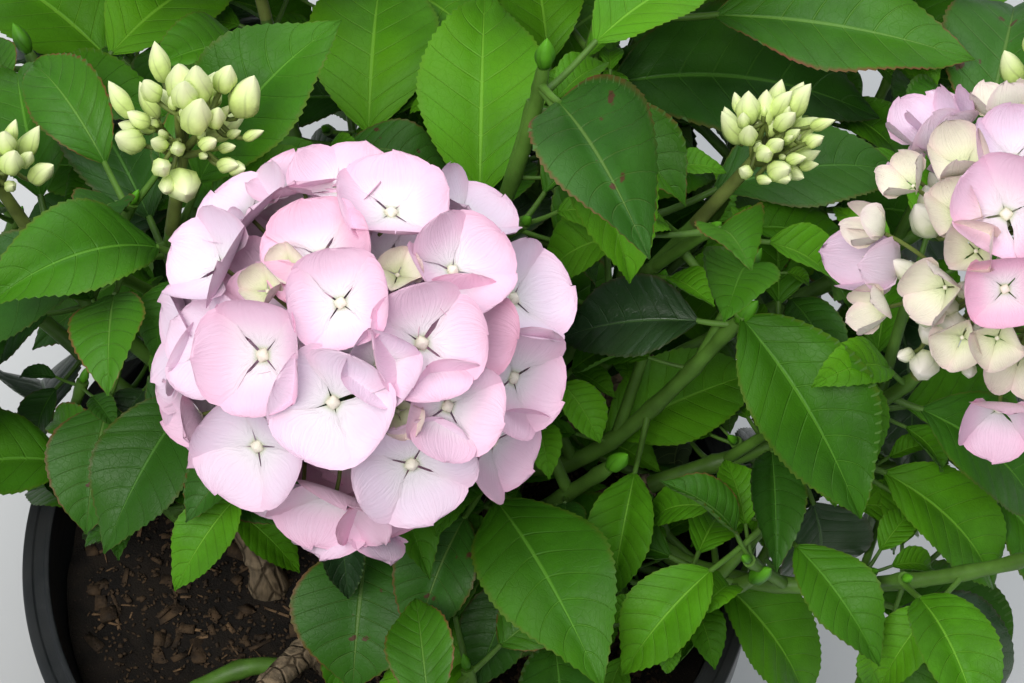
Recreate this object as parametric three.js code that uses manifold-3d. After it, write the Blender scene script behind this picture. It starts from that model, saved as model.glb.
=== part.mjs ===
// A potted mophead hydrangea: canes rise from the compost in a round nursery pot, leafy
// shoots grow on from their tips and sides, and flower heads stand over the top leaves.
// Millimetres, +Z up, origin at the centre of the pot's flat underside.
import * as THREE from "three";
import { mergeVertices } from "three/addons/utils/BufferGeometryUtils.js";
import Module from "manifold-3d";

const wasm = await Module();
wasm.setup();

// Pot and compost
const POT_HEIGHT = 250;
const POT_FOOT_RADIUS = 113;
const POT_LIP_RADIUS = 150;
const POT_WALL = 3;
const LIP_WIDTH = 11;
const LIP_DEPTH = 24;
const POT_SEGMENTS = 40;
const COMPOST_LEVEL = 228;
const COMPOST_SEGMENTS = 32;
const COMPOST_BUMP = 5;
const FLAT_CROWN_RADIUS = 74;
const GAP = 0.3;

// Canes and green stems
const CANE_SIDES = 6;
const CANE_RINGS = 4;
const CANE_FOOT_RADIUS = 6.4;
const CANE_END_RADIUS = 4.6;
const ROOT_FLARE = 1.35;
const FLARE_SHARE = 0.12;
const CANE_SHARE = 0.44;
const STEM_SIDES = 4;
const STEM_RINGS = 3;
const STEM_START_RADIUS = 4.2;
const STEM_END_RADIUS = 3.0;
const INNER = 23; // radius of the inner ring of cane feet
const OUTER = 52; // radius of the outer ring
const CANE_BEND = { up: 0.4, arrive: 0.35 }; // handles of a cane's curve, as shares of its span
const SIDE_BEND = { out: 0.3, arrive: 0.3 };
const PATH_STEPS = 16;
const TWIG_LENGTH = 44;
const TWIG_RISE = 60;
const TWIG_SPREAD = { turn: [-15, 15], length: [0.75, 1.25] };
const TWIG_ABOVE_PAIR = 0.02;
const TWIG_RADIUS = 2.2;
const STALK_RADIUS = 2.6;
const STALK_SIDES = 5;

// Leaves
const LEAF_LENGTH = 102;
const LEAF_HALF_WIDTH = 0.3;
const LEAF_THICKNESS = 0.014;
const PETIOLE_LENGTH = 24;
const PETIOLE_RADIUS = 1.6;
const PETIOLE_ROOT_RADIUS = 1.1;
const PAIR_BELOW_TIP = 9;
const PAIR_SPACING = 31;
const MOST_PAIRS = 4;
const MOST_TWIGS = 2;
const LOWEST_PAIR = 14;
const LEAF_TRIES = 14;
const TOP_PAIR_SCALE = 0.86;
const LOWER_PAIR_SCALE = 1.05;
const SCALE_PER_PAIR = 0.05;
const TWIG_LEAVES = [
  { turn: 90, scale: 0.7 },
  { turn: -90, scale: 0.7 },
  { turn: 0, scale: 0.6 },
];
const TWIG_LEAF_SHARE = 0.93;

// Ranges that a leaf's pose is drawn from: degrees, and shares of the usual lengths
const POSE = {
  turn: [-13, 13],
  rise: [26, 42],
  lowerPerPair: 9,
  droop: [52, 98],
  roll: [-15, 15],
  fold: [12, 26],
  length: [0.84, 1.18],
  petiole: [0.8, 1.3],
  swing: [-4, 4],
};
const RETRY = { turn: 4.5, rise: 8, riseStep: 1.6, droop: 9, shorter: 0.026 };
const BLADE_SHARES = [0.28, 0.64];
const SAMPLE_SHARES = [0.08, 0.2, 0.32, 0.44, 0.56, 0.68, 0.8, 0.92, 1];

const LEAF_CLEARANCE = 2.6;
const POT_CLEARANCE = 5;
const SHEET_CLEARANCE = 1.9;
const EDGE_CLEARANCE = 1.5;
const LEAF_REACH = 0.72; // leaves further apart than this share of their lengths can't touch

// Flower heads
const MOPHEAD_RADIUS = 70;
const MOPHEAD_FLORETS = 19;
const HALF_HEAD_RADIUS = 60;
const BUD_HEAD_RADIUS = 27;
const BUDS = 10;
const FLORET_RADIUS = 21;
const GOLDEN_TURN = 137.508;

const LEAF_GREEN = new THREE.Color(0.16, 0.38, 0.07);
const CANE_BROWN = new THREE.Color(0.3, 0.24, 0.15);
const POT_BLACK = new THREE.Color(0.035, 0.038, 0.045);
const COMPOST_BROWN = new THREE.Color(0.12, 0.085, 0.06);
const PETAL_PINK = new THREE.Color(0.9, 0.72, 0.82);
const CREAM = new THREE.Color(0.86, 0.84, 0.68);
const BUD_GREEN = new THREE.Color(0.72, 0.79, 0.47);

// Each main shoot: the angle and ring of its foot in the compost, the place of its flower
// head, or of its leafy tip, how its top leans, and the compass turn of its top leaf pair.
const MAIN_SHOOTS = [
  { name: "front", foot: -95, ring: INNER,
    head: "mop", at: [-1, -43, 444], lean: [0.02, -0.34], turn: 205 },
  { name: "left", foot: 170, ring: INNER,
    head: "bud", at: [-62, 32, 468], lean: [0.2, 0.0], turn: 205 },
  { name: "right", foot: 5, ring: INNER,
    head: "bud", at: [141, 41, 451], lean: [0.6, 0.12], turn: 250, size: 0.82 },
  { name: "middle", foot: 85, ring: INNER, at: [61, 66, 462], lean: [0.1, 0.1], turn: -38 },
  { name: "far_left", foot: 152, ring: OUTER,
    head: "bud", at: [-140, 48, 429], lean: [-0.34, 0.12], turn: 110, size: 0.84 },
  { name: "side_left", foot: 192, ring: OUTER, at: [-178, 80, 348], lean: [-0.8, 0.2], turn: 95 },
  { name: "back_left", foot: 112, ring: OUTER,
    head: "mop", at: [-66, 210, 440], lean: [-0.2, 0.45], turn: 20 },
  { name: "back", foot: 70, ring: OUTER,
    head: "mop", at: [100, 200, 470], lean: [0.15, 0.42], turn: 65 },
  { name: "side_right", foot: 27, ring: OUTER,
    head: "bud", at: [262, 92, 424], lean: [0.6, 0.15], turn: 60 },
  { name: "half_open", foot: -14, ring: OUTER,
    head: "half", at: [222, -12, 446], lean: [0.32, -0.1], turn: 170 },
  { name: "front_right", foot: -62, ring: OUTER,
    head: "mop", at: [66, -214, 366], lean: [0.15, -0.7], turn: 15, size: 0.9 },
  { name: "front_left", foot: -116, ring: OUTER,
    head: "bud", at: [-112, -214, 344], lean: [-0.3, -0.8], turn: 60 },
];

// Each side shoot: the cane that it leaves, how far up that cane, and its leafy tip
const SIDE_SHOOTS = [
  { name: "low_middle", from: "front", share: 0.72, at: [86, -30, 350], lean: [0.5, -0.2], turn: 30 },
  { name: "mid_right", from: "right", share: 0.8, at: [132, 6, 392], lean: [0.5, 0.0], turn: -42 },
  { name: "low_right", from: "front_right", share: 0.75,
    at: [140, -56, 312], lean: [0.5, -0.2], turn: -70 },
  { name: "outer_right", from: "half_open", share: 0.9,
    at: [238, -66, 346], lean: [0.7, -0.25], turn: 20 },
  { name: "low_left", from: "side_left", share: 0.5,
    at: [-104, -2, 304], lean: [-0.6, -0.2], turn: 225 },
  { name: "outer_left", from: "far_left", share: 0.85,
    at: [-150, 168, 356], lean: [-0.5, 0.6], turn: 30 },
  { name: "low_front_left", from: "front_left", share: 0.7,
    at: [-150, -164, 296], lean: [-0.7, -0.6], turn: 60 },
  { name: "low_back_left", from: "back_left", share: 0.7,
    at: [-128, 218, 330], lean: [-0.5, 0.7], turn: 20 },
  { name: "low_back", from: "back", share: 0.65, at: [34, 236, 330], lean: [0.0, 0.8], turn: 40 },
  { name: "back_right", from: "back", share: 0.85,
    head: "bud", at: [212, 186, 418], lean: [0.55, 0.4], turn: 100 },
];

// Spaces that the leaves leave open: the front of the pot, where the compost can be seen
const OPEN_SPACES = [
  { centre: [-76, -82, 272], radius: 52 },
  { centre: [-62, -108, 334], radius: 46 },
  { centre: [-148, -62, 290], radius: 38 },
  { centre: [112, -128, 282], radius: 34 },
  { centre: [214, -136, 300], radius: 42 },
];

const HEADS = {
  mop: { radius: MOPHEAD_RADIUS, reach: 80, title: "mophead" },
  half: { radius: HALF_HEAD_RADIUS, reach: 76, title: "half_head" },
  bud: { radius: BUD_HEAD_RADIUS, reach: 56, title: "bud_head" },
};

// Leaves keep out of a ball in front of each head, on the side that the light comes from
const LIGHT_WAY = new THREE.Vector3(0, -0.6, 0.8);
const LIT_REACH = 1.5;
const LIT_RADIUS = 1.0;

const UP = new THREE.Vector3(0, 0, 1);
const DEGREE = Math.PI / 180;

function vector(list) {
  return new THREE.Vector3(list[0], list[1], list[2]);
}

// Repeatable numbers from 0 to 1, by the usual linear rule in whole numbers
function seeded(seed) {
  let state = seed >>> 0;
  return () => {
    state = (Math.imul(state, 1664525) + 1013904223) >>> 0;
    return state / 4294967296;
  };
}

// Unit vector at a compass angle and a rise above level, both in degrees
function heading(compass, rise) {
  const level = Math.cos(rise * DEGREE);
  const x = level * Math.cos(compass * DEGREE);
  const y = level * Math.sin(compass * DEGREE);
  return new THREE.Vector3(x, y, Math.sin(rise * DEGREE));
}

// Solids from points and faces

function solidFrom(points, faces) {
  const vertProperties = new Float32Array(points.flatMap((p) => [p.x, p.y, p.z]));
  const triVerts = new Uint32Array(faces.flat());
  return new wasm.Manifold(new wasm.Mesh({ numProp: 3, vertProperties, triVerts }));
}

function solidFromGeometry(geometry) {
  geometry.deleteAttribute("normal");
  geometry.deleteAttribute("uv");
  const merged = mergeVertices(geometry, 1e-4);
  const vertProperties = new Float32Array(merged.attributes.position.array);
  const triVerts = new Uint32Array(merged.index.array);
  return new wasm.Manifold(new wasm.Mesh({ numProp: 3, vertProperties, triVerts }));
}

function fuse(solids) {
  return solids.reduce((whole, next) => whole.add(next));
}

function geometryOf(solid) {
  const mesh = solid.getMesh();
  const geometry = new THREE.BufferGeometry();
  const positions = new Float32Array(mesh.vertProperties);
  geometry.setAttribute("position", new THREE.BufferAttribute(positions, 3));
  geometry.setIndex(new THREE.BufferAttribute(new Uint32Array(mesh.triVerts), 1));
  geometry.computeVertexNormals();
  return geometry;
}

// Tapering limb through rings of a regular polygon, one ring at each point of the path.
// Its end rings lie square to the directions given for them.
function limbSolid(path, radii, sides, startWay, endWay) {
  const points = [];
  const faces = [];
  let across = null;
  path.forEach((place, ring) => {
    const before = path[Math.max(ring - 1, 0)];
    const after = path[Math.min(ring + 1, path.length - 1)];
    const ends = { 0: startWay, [path.length - 1]: endWay };
    const along = (ends[ring] ?? after.clone().sub(before)).clone().normalize();
    across = across ?? (Math.abs(along.z) < 0.9 ? UP.clone() : new THREE.Vector3(1, 0, 0));
    across = across.clone().addScaledVector(along, -across.dot(along)).normalize();
    const second = along.clone().cross(across);
    for (let side = 0; side < sides; side += 1) {
      const angle = (2 * Math.PI * side) / sides;
      points.push(place.clone().addScaledVector(across, radii[ring] * Math.cos(angle))
        .addScaledVector(second, radii[ring] * Math.sin(angle)));
    }
  });
  const last = (path.length - 1) * sides;
  for (let side = 1; side < sides - 1; side += 1) {
    faces.push([0, side + 1, side], [last, last + side, last + side + 1]);
  }
  for (let ring = 0; ring < path.length - 1; ring += 1) {
    for (let side = 0; side < sides; side += 1) {
      const low = ring * sides + side;
      const next = ring * sides + ((side + 1) % sides);
      faces.push([low, next, next + sides], [low, next + sides, low + sides]);
    }
  }
  return solidFrom(points, faces);
}

// Paths of the shoots

function bendPoint(path, share) {
  return new THREE.CubicBezierCurve3(...path).getPoint(share);
}

function bendTangent(path, share) {
  return new THREE.CubicBezierCurve3(...path).getTangent(share);
}

function pathLength(path) {
  let total = 0;
  for (let step = 0; step < PATH_STEPS; step += 1) {
    total += bendPoint(path, step / PATH_STEPS).distanceTo(bendPoint(path, (step + 1) / PATH_STEPS));
  }
  return total;
}

// The share of a path that lies a small distance further on from another share
function shareAfter(path, share, distance) {
  const step = 1 / 1024;
  return share + (distance * step) / bendPoint(path, share).distanceTo(bendPoint(path, share + step));
}

// Names a shoot's top direction, the end of its leafy stem and the centre of its head
function shootTop(shoot) {
  const top = new THREE.Vector3(shoot.lean[0], shoot.lean[1], 1).normalize();
  const centre = vector(shoot.at);
  const size = shoot.size ?? 1;
  const kind = shoot.head ? HEADS[shoot.head] : null;
  const reach = kind ? kind.reach * size : 0;
  const tip = centre.clone().addScaledVector(top, -reach);
  return { top, tip, centre, size, kind };
}

function mainPath(shoot) {
  const { top, tip } = shootTop(shoot);
  const foot = heading(shoot.foot, 0).multiplyScalar(shoot.ring);
  foot.z = COMPOST_LEVEL + GAP;
  const reach = foot.distanceTo(tip);
  const rise = foot.clone().addScaledVector(UP, CANE_BEND.up * reach);
  const arrive = tip.clone().addScaledVector(top, -CANE_BEND.arrive * reach);
  return [foot, rise, arrive, tip];
}

function sidePath(shoot, caneOf) {
  const { top, tip } = shootTop(shoot);
  const cane = caneOf[shoot.from];
  const share = CANE_SHARE * shoot.share;
  const place = bendPoint(cane, share);
  const along = bendTangent(cane, share);
  const out = tip.clone().sub(place);
  out.addScaledVector(along, -out.dot(along)).normalize();
  const start = place.addScaledVector(out, caneRadius(shoot.share) + GAP);
  const reach = start.distanceTo(tip);
  const leave = start.clone().addScaledVector(out, SIDE_BEND.out * reach);
  const arrive = tip.clone().addScaledVector(top, -SIDE_BEND.arrive * reach);
  return [start, leave, arrive, tip];
}

// Radius of a cane at a share of its length, thicker at the root flare
function caneRadius(share) {
  const flare = 1 + (ROOT_FLARE - 1) * Math.max(0, 1 - share / FLARE_SHARE);
  return (CANE_FOOT_RADIUS + (CANE_END_RADIUS - CANE_FOOT_RADIUS) * share) * flare;
}

function stemRadius(share) {
  return STEM_START_RADIUS + (STEM_END_RADIUS - STEM_START_RADIUS) * share;
}

// Plant layout: canes, leafy stems, side twigs and stalks as plain limbs with a radius

function limbPieces(path, from, to, radiusAt, pieces) {
  const limbs = [];
  for (let step = 0; step < pieces; step += 1) {
    const low = step / pieces;
    const high = (step + 1) / pieces;
    limbs.push({
      a: bendPoint(path, from + (to - from) * low),
      b: bendPoint(path, from + (to - from) * high),
      radius: radiusAt(low),
    });
  }
  return limbs;
}

// Works out where a shoot's leaf pairs stand, as shares of its path, from the tip down
function pairShares(path, start) {
  const length = pathLength(path);
  const green = length * (1 - start);
  const shares = [];
  for (let below = PAIR_BELOW_TIP; below < green - LOWEST_PAIR; below += PAIR_SPACING) {
    if (shares.length < MOST_PAIRS) {
      shares.push(1 - below / length);
    }
  }
  return shares;
}

// Side twigs leave the stem over one leaf of the pairs below the topmost
function twigsOf(shoot, path, shares, random) {
  return shares.slice(1, 1 + MOST_TWIGS).map((share, index) => {
    const side = random() < 0.5 ? 0 : 180;
    const compass = shoot.turn + 90 * (index + 1) + side + within(TWIG_SPREAD.turn, random);
    const length = TWIG_LENGTH * within(TWIG_SPREAD.length, random);
    const root = bendPoint(path, share + TWIG_ABOVE_PAIR);
    const tip = root.clone().addScaledVector(heading(compass, TWIG_RISE), length);
    return { root, tip, compass };
  });
}

function layOutShoot(shoot, index, path, start) {
  const random = seeded(7919 * (index + 1));
  const shares = pairShares(path, start);
  const twigs = twigsOf(shoot, path, shares, random);
  const { top, tip, centre, size, kind } = shootTop(shoot);
  const stem = limbPieces(path, start, 1, stemRadius, STEM_RINGS * 2);
  const limbs = [...stem, ...twigs.map((twig) => ({ a: twig.root, b: twig.tip, radius: TWIG_RADIUS }))];
  if (kind) {
    limbs.push({ a: tip, b: centre, radius: STALK_RADIUS });
  }
  return { shoot, path, start, shares, twigs, top, tip, centre, size, kind, limbs, random, leaves: [] };
}

// Leaves

// A number drawn evenly between the two ends of a range
function within([low, high], random) {
  return low + (high - low) * random();
}

// A leaf's own measures, drawn in a fixed order so that every try uses the same numbers
function drawLeaf(root, compass, scale, depth, random) {
  return {
    root,
    compass: compass + within(POSE.turn, random),
    rise: within(POSE.rise, random) - POSE.lowerPerPair * depth,
    droop: within(POSE.droop, random),
    roll: within(POSE.roll, random),
    fold: within(POSE.fold, random),
    length: LEAF_LENGTH * scale * within(POSE.length, random),
    petiole: PETIOLE_LENGTH * within(POSE.petiole, random) * Math.sqrt(scale),
    swing: within(POSE.swing, random),
  };
}

// The same leaf turned, lowered and shortened a little more at each further try
function retried(leaf, attempt) {
  const side = attempt % 2 === 0 ? 1 : -1;
  const lift = [0, 1, -1, -1, 1][attempt % 5];
  return {
    ...leaf,
    compass: leaf.compass + leaf.swing + side * attempt * RETRY.turn,
    rise: leaf.rise + lift * (RETRY.rise + RETRY.riseStep * attempt),
    droop: leaf.droop - lift * RETRY.droop,
    length: leaf.length * (1 - RETRY.shorter * attempt),
  };
}

// Rib point, left direction and upward normal at a share of the blade. The rib is an arc
// that starts at the leaf's rise and bends down evenly by its droop.
function ribFrame(leaf, share) {
  const rise = leaf.rise * DEGREE;
  const bend = leaf.droop * DEGREE;
  const low = rise - bend * share;
  const level = (leaf.length * (Math.sin(rise) - Math.sin(low))) / bend;
  const height = (leaf.length * (Math.cos(low) - Math.cos(rise))) / bend;
  const ahead = heading(leaf.compass, 0);
  const start = leaf.root.clone().addScaledVector(heading(leaf.compass, leaf.rise), leaf.petiole);
  const point = start.addScaledVector(ahead, level).addScaledVector(UP, height);
  const normal = UP.clone().multiplyScalar(Math.cos(low)).addScaledVector(ahead, -Math.sin(low));
  const left = UP.clone().cross(ahead);
  const roll = leaf.roll * DEGREE * Math.min(1, 0.4 + share);
  const rolledLeft = left.clone().multiplyScalar(Math.cos(roll)).addScaledVector(normal, Math.sin(roll));
  const rolledNormal = normal.multiplyScalar(Math.cos(roll)).addScaledVector(left, -Math.sin(roll));
  return { point, left: rolledLeft, normal: rolledNormal };
}

// Margin point: out from the rib by the half width there, and up by the fold
function marginPoint(leaf, frame, halfWidth, side) {
  const fold = leaf.fold * DEGREE;
  const across = side * halfWidth * Math.cos(fold);
  return frame.point.clone().addScaledVector(frame.left, across)
    .addScaledVector(frame.normal, halfWidth * Math.sin(fold));
}

// Half width of the blade at a share of its length, for an egg-shaped leaf with a drawn-out tip
function halfWidthAt(leaf, share) {
  const body = Math.pow(Math.sin(Math.PI * Math.pow(share, 0.8)), 0.8);
  const taper = 1 - 0.28 * Math.pow(share, 4);
  return LEAF_HALF_WIDTH * leaf.length * body * taper;
}

// Corner points of the blade's sheet: base, two rings of left, rib and right, and tip,
// moved along the normal by lift and spread outwards by spread
function sheetPoints(leaf, lift, spread) {
  const base = ribFrame(leaf, 0);
  const end = ribFrame(leaf, 1);
  const rings = BLADE_SHARES.flatMap((share) => {
    const frame = ribFrame(leaf, share);
    const width = halfWidthAt(leaf, share) + spread;
    return [marginPoint(leaf, frame, width, 1), frame.point, marginPoint(leaf, frame, width, -1)]
      .map((point) => point.clone().addScaledVector(frame.normal, lift));
  });
  const tip = end.point.clone().addScaledVector(end.normal, lift);
  tip.addScaledVector(end.point.clone().sub(ribFrame(leaf, 0.9).point).normalize(), spread);
  const petioleRoot = leaf.root.clone().lerp(base.point, 0.35).addScaledVector(base.normal, lift);
  const petioleLeft = petioleRoot.clone().addScaledVector(base.left, spread);
  return [base.point.clone().addScaledVector(base.normal, lift), ...rings, tip, petioleRoot, petioleLeft];
}

const SHEET_FACES = [
  [0, 2, 1], [0, 3, 2], [2, 5, 4], [2, 4, 1], [2, 3, 6], [2, 6, 5], [5, 7, 4], [5, 6, 7], [8, 9, 0],
];
const SHEET_EDGES = [
  [0, 1], [1, 4], [4, 7], [7, 6], [6, 3], [3, 0], [0, 2], [2, 5],
  [5, 7], [2, 1], [2, 3], [5, 4], [5, 6], [2, 4], [2, 6], [8, 0],
];

// True where the stretch from p to q passes through the triangle a, b, c
function crosses(p, q, a, b, c) {
  const way = q.clone().sub(p);
  const side = b.clone().sub(a);
  const other = c.clone().sub(a);
  const normal = way.clone().cross(other);
  const scale = side.dot(normal);
  if (Math.abs(scale) < 1e-9) {
    return false;
  }
  const offset = p.clone().sub(a);
  const u = offset.dot(normal) / scale;
  if (u < 0 || u > 1) {
    return false;
  }
  const turned = offset.cross(side);
  const v = way.dot(turned) / scale;
  if (v < 0 || u + v > 1) {
    return false;
  }
  const share = other.dot(turned) / scale;
  return share >= 0 && share <= 1;
}

function sheetsCross(first, second) {
  return SHEET_EDGES.some(([p, q]) => SHEET_FACES.some(([a, b, c]) =>
    crosses(first[p], first[q], second[a], second[b], second[c])
    || crosses(second[p], second[q], first[a], first[b], first[c])));
}

function distanceToLimb(point, limb) {
  const way = limb.b.clone().sub(limb.a);
  const share = Math.min(1, Math.max(0, point.clone().sub(limb.a).dot(way) / way.lengthSq()));
  return point.distanceTo(limb.a.clone().addScaledVector(way, share)) - limb.radius;
}

// Points along the petiole and over the blade, for its distance to limbs, heads, pot and compost
function bladeSamples(leaf) {
  const base = ribFrame(leaf, 0).point;
  const samples = [0.55, 0.8].map((share) => leaf.root.clone().lerp(base, share));
  for (const share of SAMPLE_SHARES) {
    const frame = ribFrame(leaf, share);
    const width = halfWidthAt(leaf, Math.min(share, 0.99));
    samples.push(frame.point);
    for (const side of [-1, 1]) {
      for (const reach of [0.36, 0.7, 1]) {
        samples.push(marginPoint(leaf, frame, width * reach, side));
      }
    }
  }
  return samples;
}

// Keeps a leaf off the pot's lip and wall, and the compost
function clearOfPot(point) {
  const radius = Math.hypot(point.x, point.y);
  const outside = radius > POT_LIP_RADIUS + POT_CLEARANCE;
  const inside = radius < POT_LIP_RADIUS - LIP_WIDTH - POT_CLEARANCE;
  const floor = inside ? COMPOST_LEVEL + COMPOST_BUMP : POT_HEIGHT;
  return outside || point.z > floor + POT_CLEARANCE;
}

function leafFits(leaf, limbs, spaces, placed) {
  const samples = bladeSamples(leaf);
  const clearOfAll = samples.every((point) => clearOfPot(point)
    && spaces.every((space) => point.distanceTo(space.centre) > space.radius + 2)
    && limbs.every((limb) => distanceToLimb(point, limb) > LEAF_CLEARANCE));
  if (!clearOfAll) {
    return false;
  }
  const lifts = [-SHEET_CLEARANCE, 0, SHEET_CLEARANCE];
  const sheets = lifts.map((lift) => sheetPoints(leaf, lift, EDGE_CLEARANCE));
  const middle = ribFrame(leaf, 0.45).point;
  const far = (other) => middle.distanceTo(other.middle) > LEAF_REACH * (leaf.length + other.leaf.length);
  return placed.every((other) => far(other) || sheets.every((sheet) => !sheetsCross(sheet, other.sheet)));
}

function placeLeaf(drawn, limbs, spaces, placed, leaves) {
  for (let attempt = 0; attempt < LEAF_TRIES; attempt += 1) {
    const leaf = retried(drawn, attempt);
    if (leafFits(leaf, limbs, spaces, placed)) {
      placed.push({ leaf, middle: ribFrame(leaf, 0.45).point, sheet: sheetPoints(leaf, 0, 0) });
      leaves.push(leaf);
      return;
    }
  }
}

// Balls that no leaf may enter: the flower heads, the light in front of them, open spaces
function keptSpaces(plan) {
  const spaces = OPEN_SPACES.map((space) => ({ centre: vector(space.centre), radius: space.radius }));
  for (const part of plan.filter((each) => each.kind)) {
    const radius = part.kind.radius * part.size;
    const lit = part.centre.clone().addScaledVector(LIGHT_WAY, LIT_REACH * radius);
    spaces.push({ centre: part.centre, radius }, { centre: lit, radius: LIT_RADIUS * radius });
  }
  return spaces;
}

// Leaves grow in pairs, each pair square to the one below, first the top pairs of every
// shoot, then the next ones down, and last the pairs on the side twigs
function growLeaves(plan, spaces) {
  const limbs = plan.flatMap((part) => [...part.limbs, ...part.caneLimbs]);
  const placed = [];
  const most = Math.max(...plan.map((part) => part.shares.length));
  for (let depth = 0; depth < most; depth += 1) {
    for (const part of plan.filter((each) => depth < each.shares.length)) {
      const scale = depth === 0 ? TOP_PAIR_SCALE : LOWER_PAIR_SCALE - SCALE_PER_PAIR * depth;
      for (const side of [0, 180]) {
        const compass = part.shoot.turn + 90 * depth + side;
        const root = bendPoint(part.path, part.shares[depth]);
        placeLeaf(drawLeaf(root, compass, scale, depth, part.random), limbs, spaces, placed, part.leaves);
      }
    }
  }
  for (const part of plan) {
    for (const twig of part.twigs) {
      for (const { turn, scale } of TWIG_LEAVES) {
        const root = twig.root.clone().lerp(twig.tip, TWIG_LEAF_SHARE);
        const drawn = drawLeaf(root, twig.compass + turn, scale, 0, part.random);
        placeLeaf(drawn, limbs, spaces, placed, part.leaves);
      }
    }
  }
  return placed;
}

// One closed solid for a leaf and its petiole: a three-sided stalk that opens into a folded
// blade, thickest along the rib and running out to its margins
function leafSolid(leaf) {
  const base = ribFrame(leaf, 0);
  const thickness = LEAF_THICKNESS * leaf.length;
  const stalkRing = (place, radius) => [
    place.clone().addScaledVector(base.left, radius).addScaledVector(base.normal, 0.5 * radius),
    place.clone().addScaledVector(base.left, -radius).addScaledVector(base.normal, 0.5 * radius),
    place.clone().addScaledVector(base.normal, -radius),
  ];
  const bladeRings = BLADE_SHARES.flatMap((share) => {
    const frame = ribFrame(leaf, share);
    const width = halfWidthAt(leaf, share);
    const under = frame.point.clone().addScaledVector(frame.normal, -thickness);
    return [marginPoint(leaf, frame, width, 1), frame.point, marginPoint(leaf, frame, width, -1), under];
  });
  const stalk = [...stalkRing(leaf.root, PETIOLE_ROOT_RADIUS), ...stalkRing(base.point, PETIOLE_RADIUS)];
  const points = [...stalk, ...bladeRings, ribFrame(leaf, 1).point];
  const faces = [
    [0, 2, 1], [1, 4, 3], [1, 3, 0], [0, 3, 5], [0, 5, 2], [1, 2, 5], [1, 5, 4],
    [4, 7, 3], [3, 7, 6], [4, 8, 7], [3, 6, 9], [3, 9, 5], [4, 9, 8], [4, 5, 9],
    [7, 11, 10], [7, 10, 6], [7, 8, 12], [7, 12, 11], [9, 6, 10], [9, 10, 13], [9, 13, 12], [9, 12, 8],
    [11, 14, 10], [11, 12, 14], [13, 10, 14], [13, 14, 12],
  ];
  return solidFrom(points, faces);
}

// Green stem, side twigs and all the leaves that stand on them, as one body
function foliageSolid(part) {
  const from = part.start;
  const shares = Array.from({ length: STEM_RINGS + 1 }, (_, ring) => ring / STEM_RINGS);
  const path = shares.map((share) => bendPoint(part.path, from + (1 - from) * share));
  const stem = limbSolid(path, shares.map(stemRadius), STEM_SIDES, bendTangent(part.path, from), part.top);
  const twigs = part.twigs.map((twig) =>
    limbSolid([twig.root, twig.tip], [TWIG_RADIUS, TWIG_RADIUS], 3));
  return fuse([stem, ...twigs, ...part.leaves.map(leafSolid)]);
}

function caneSolid(path) {
  const shares = [0, FLARE_SHARE];
  for (let ring = 1; ring <= CANE_RINGS; ring += 1) {
    shares.push(FLARE_SHARE + ((1 - FLARE_SHARE) * ring) / CANE_RINGS);
  }
  const points = shares.map((share) => bendPoint(path, CANE_SHARE * share));
  return limbSolid(points, shares.map(caneRadius), CANE_SIDES, UP, bendTangent(path, CANE_SHARE));
}

// Flower heads

// Directions spread evenly over a ball from its top down to a lowest height
function spreadDirections(count, lowest, turn) {
  return Array.from({ length: count }, (_, index) => {
    const height = 1 - ((index + 0.5) / count) * (1 - lowest);
    return heading(turn + GOLDEN_TURN * index, Math.asin(height) / DEGREE);
  });
}

// Turns a direction so that straight up becomes the head's own top direction
function tilted(direction, top) {
  const turn = new THREE.Quaternion().setFromUnitVectors(UP, top);
  return direction.clone().applyQuaternion(turn);
}

// A floret: a cupped four-cornered plate, on a cone whose point sinks into the core
function floretSolid(centre, direction, radius, depth, spin) {
  const side = Math.abs(direction.z) < 0.9 ? UP.clone() : new THREE.Vector3(1, 0, 0);
  side.addScaledVector(direction, -side.dot(direction)).normalize();
  const other = direction.clone().cross(side);
  const points = [
    centre.clone().addScaledVector(direction, -0.16 * radius),
    centre.clone().addScaledVector(direction, -depth),
  ];
  const faces = [];
  for (let corner = 0; corner < 4; corner += 1) {
    const angle = spin + (corner * Math.PI) / 2;
    points.push(centre.clone().addScaledVector(side, radius * Math.cos(angle))
      .addScaledVector(other, radius * Math.sin(angle)));
    const low = 2 + corner;
    const next = 2 + ((corner + 1) % 4);
    faces.push([0, low, next], [1, next, low]);
  }
  return solidFrom(points, faces);
}

// A closed bud: a four-sided spindle from the core out to its point
function budSolid(centre, direction, inner, outer, radius) {
  const side = Math.abs(direction.z) < 0.9 ? UP.clone() : new THREE.Vector3(1, 0, 0);
  side.addScaledVector(direction, -side.dot(direction)).normalize();
  const other = direction.clone().cross(side);
  const waist = centre.clone().addScaledVector(direction, inner + 0.66 * (outer - inner));
  const points = [
    centre.clone().addScaledVector(direction, inner),
    centre.clone().addScaledVector(direction, outer),
    waist.clone().addScaledVector(side, radius),
    waist.clone().addScaledVector(other, radius),
    waist.clone().addScaledVector(side, -radius),
    waist.clone().addScaledVector(other, -radius),
  ];
  const faces = [[1, 2, 3], [1, 3, 4], [1, 4, 5], [1, 5, 2], [0, 3, 2], [0, 4, 3], [0, 5, 4], [0, 2, 5]];
  return solidFrom(points, faces);
}

function coreSolid(centre, top, radius, squash, detail) {
  const geometry = new THREE.IcosahedronGeometry(radius, detail);
  geometry.scale(1, 1, squash);
  geometry.applyQuaternion(new THREE.Quaternion().setFromUnitVectors(UP, top));
  geometry.translate(centre.x, centre.y, centre.z);
  return solidFromGeometry(geometry);
}

function stalkSolid(part) {
  const start = part.tip.clone().addScaledVector(part.top, GAP);
  return limbSolid([start, part.centre], [STALK_RADIUS, STALK_RADIUS], STALK_SIDES);
}

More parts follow.
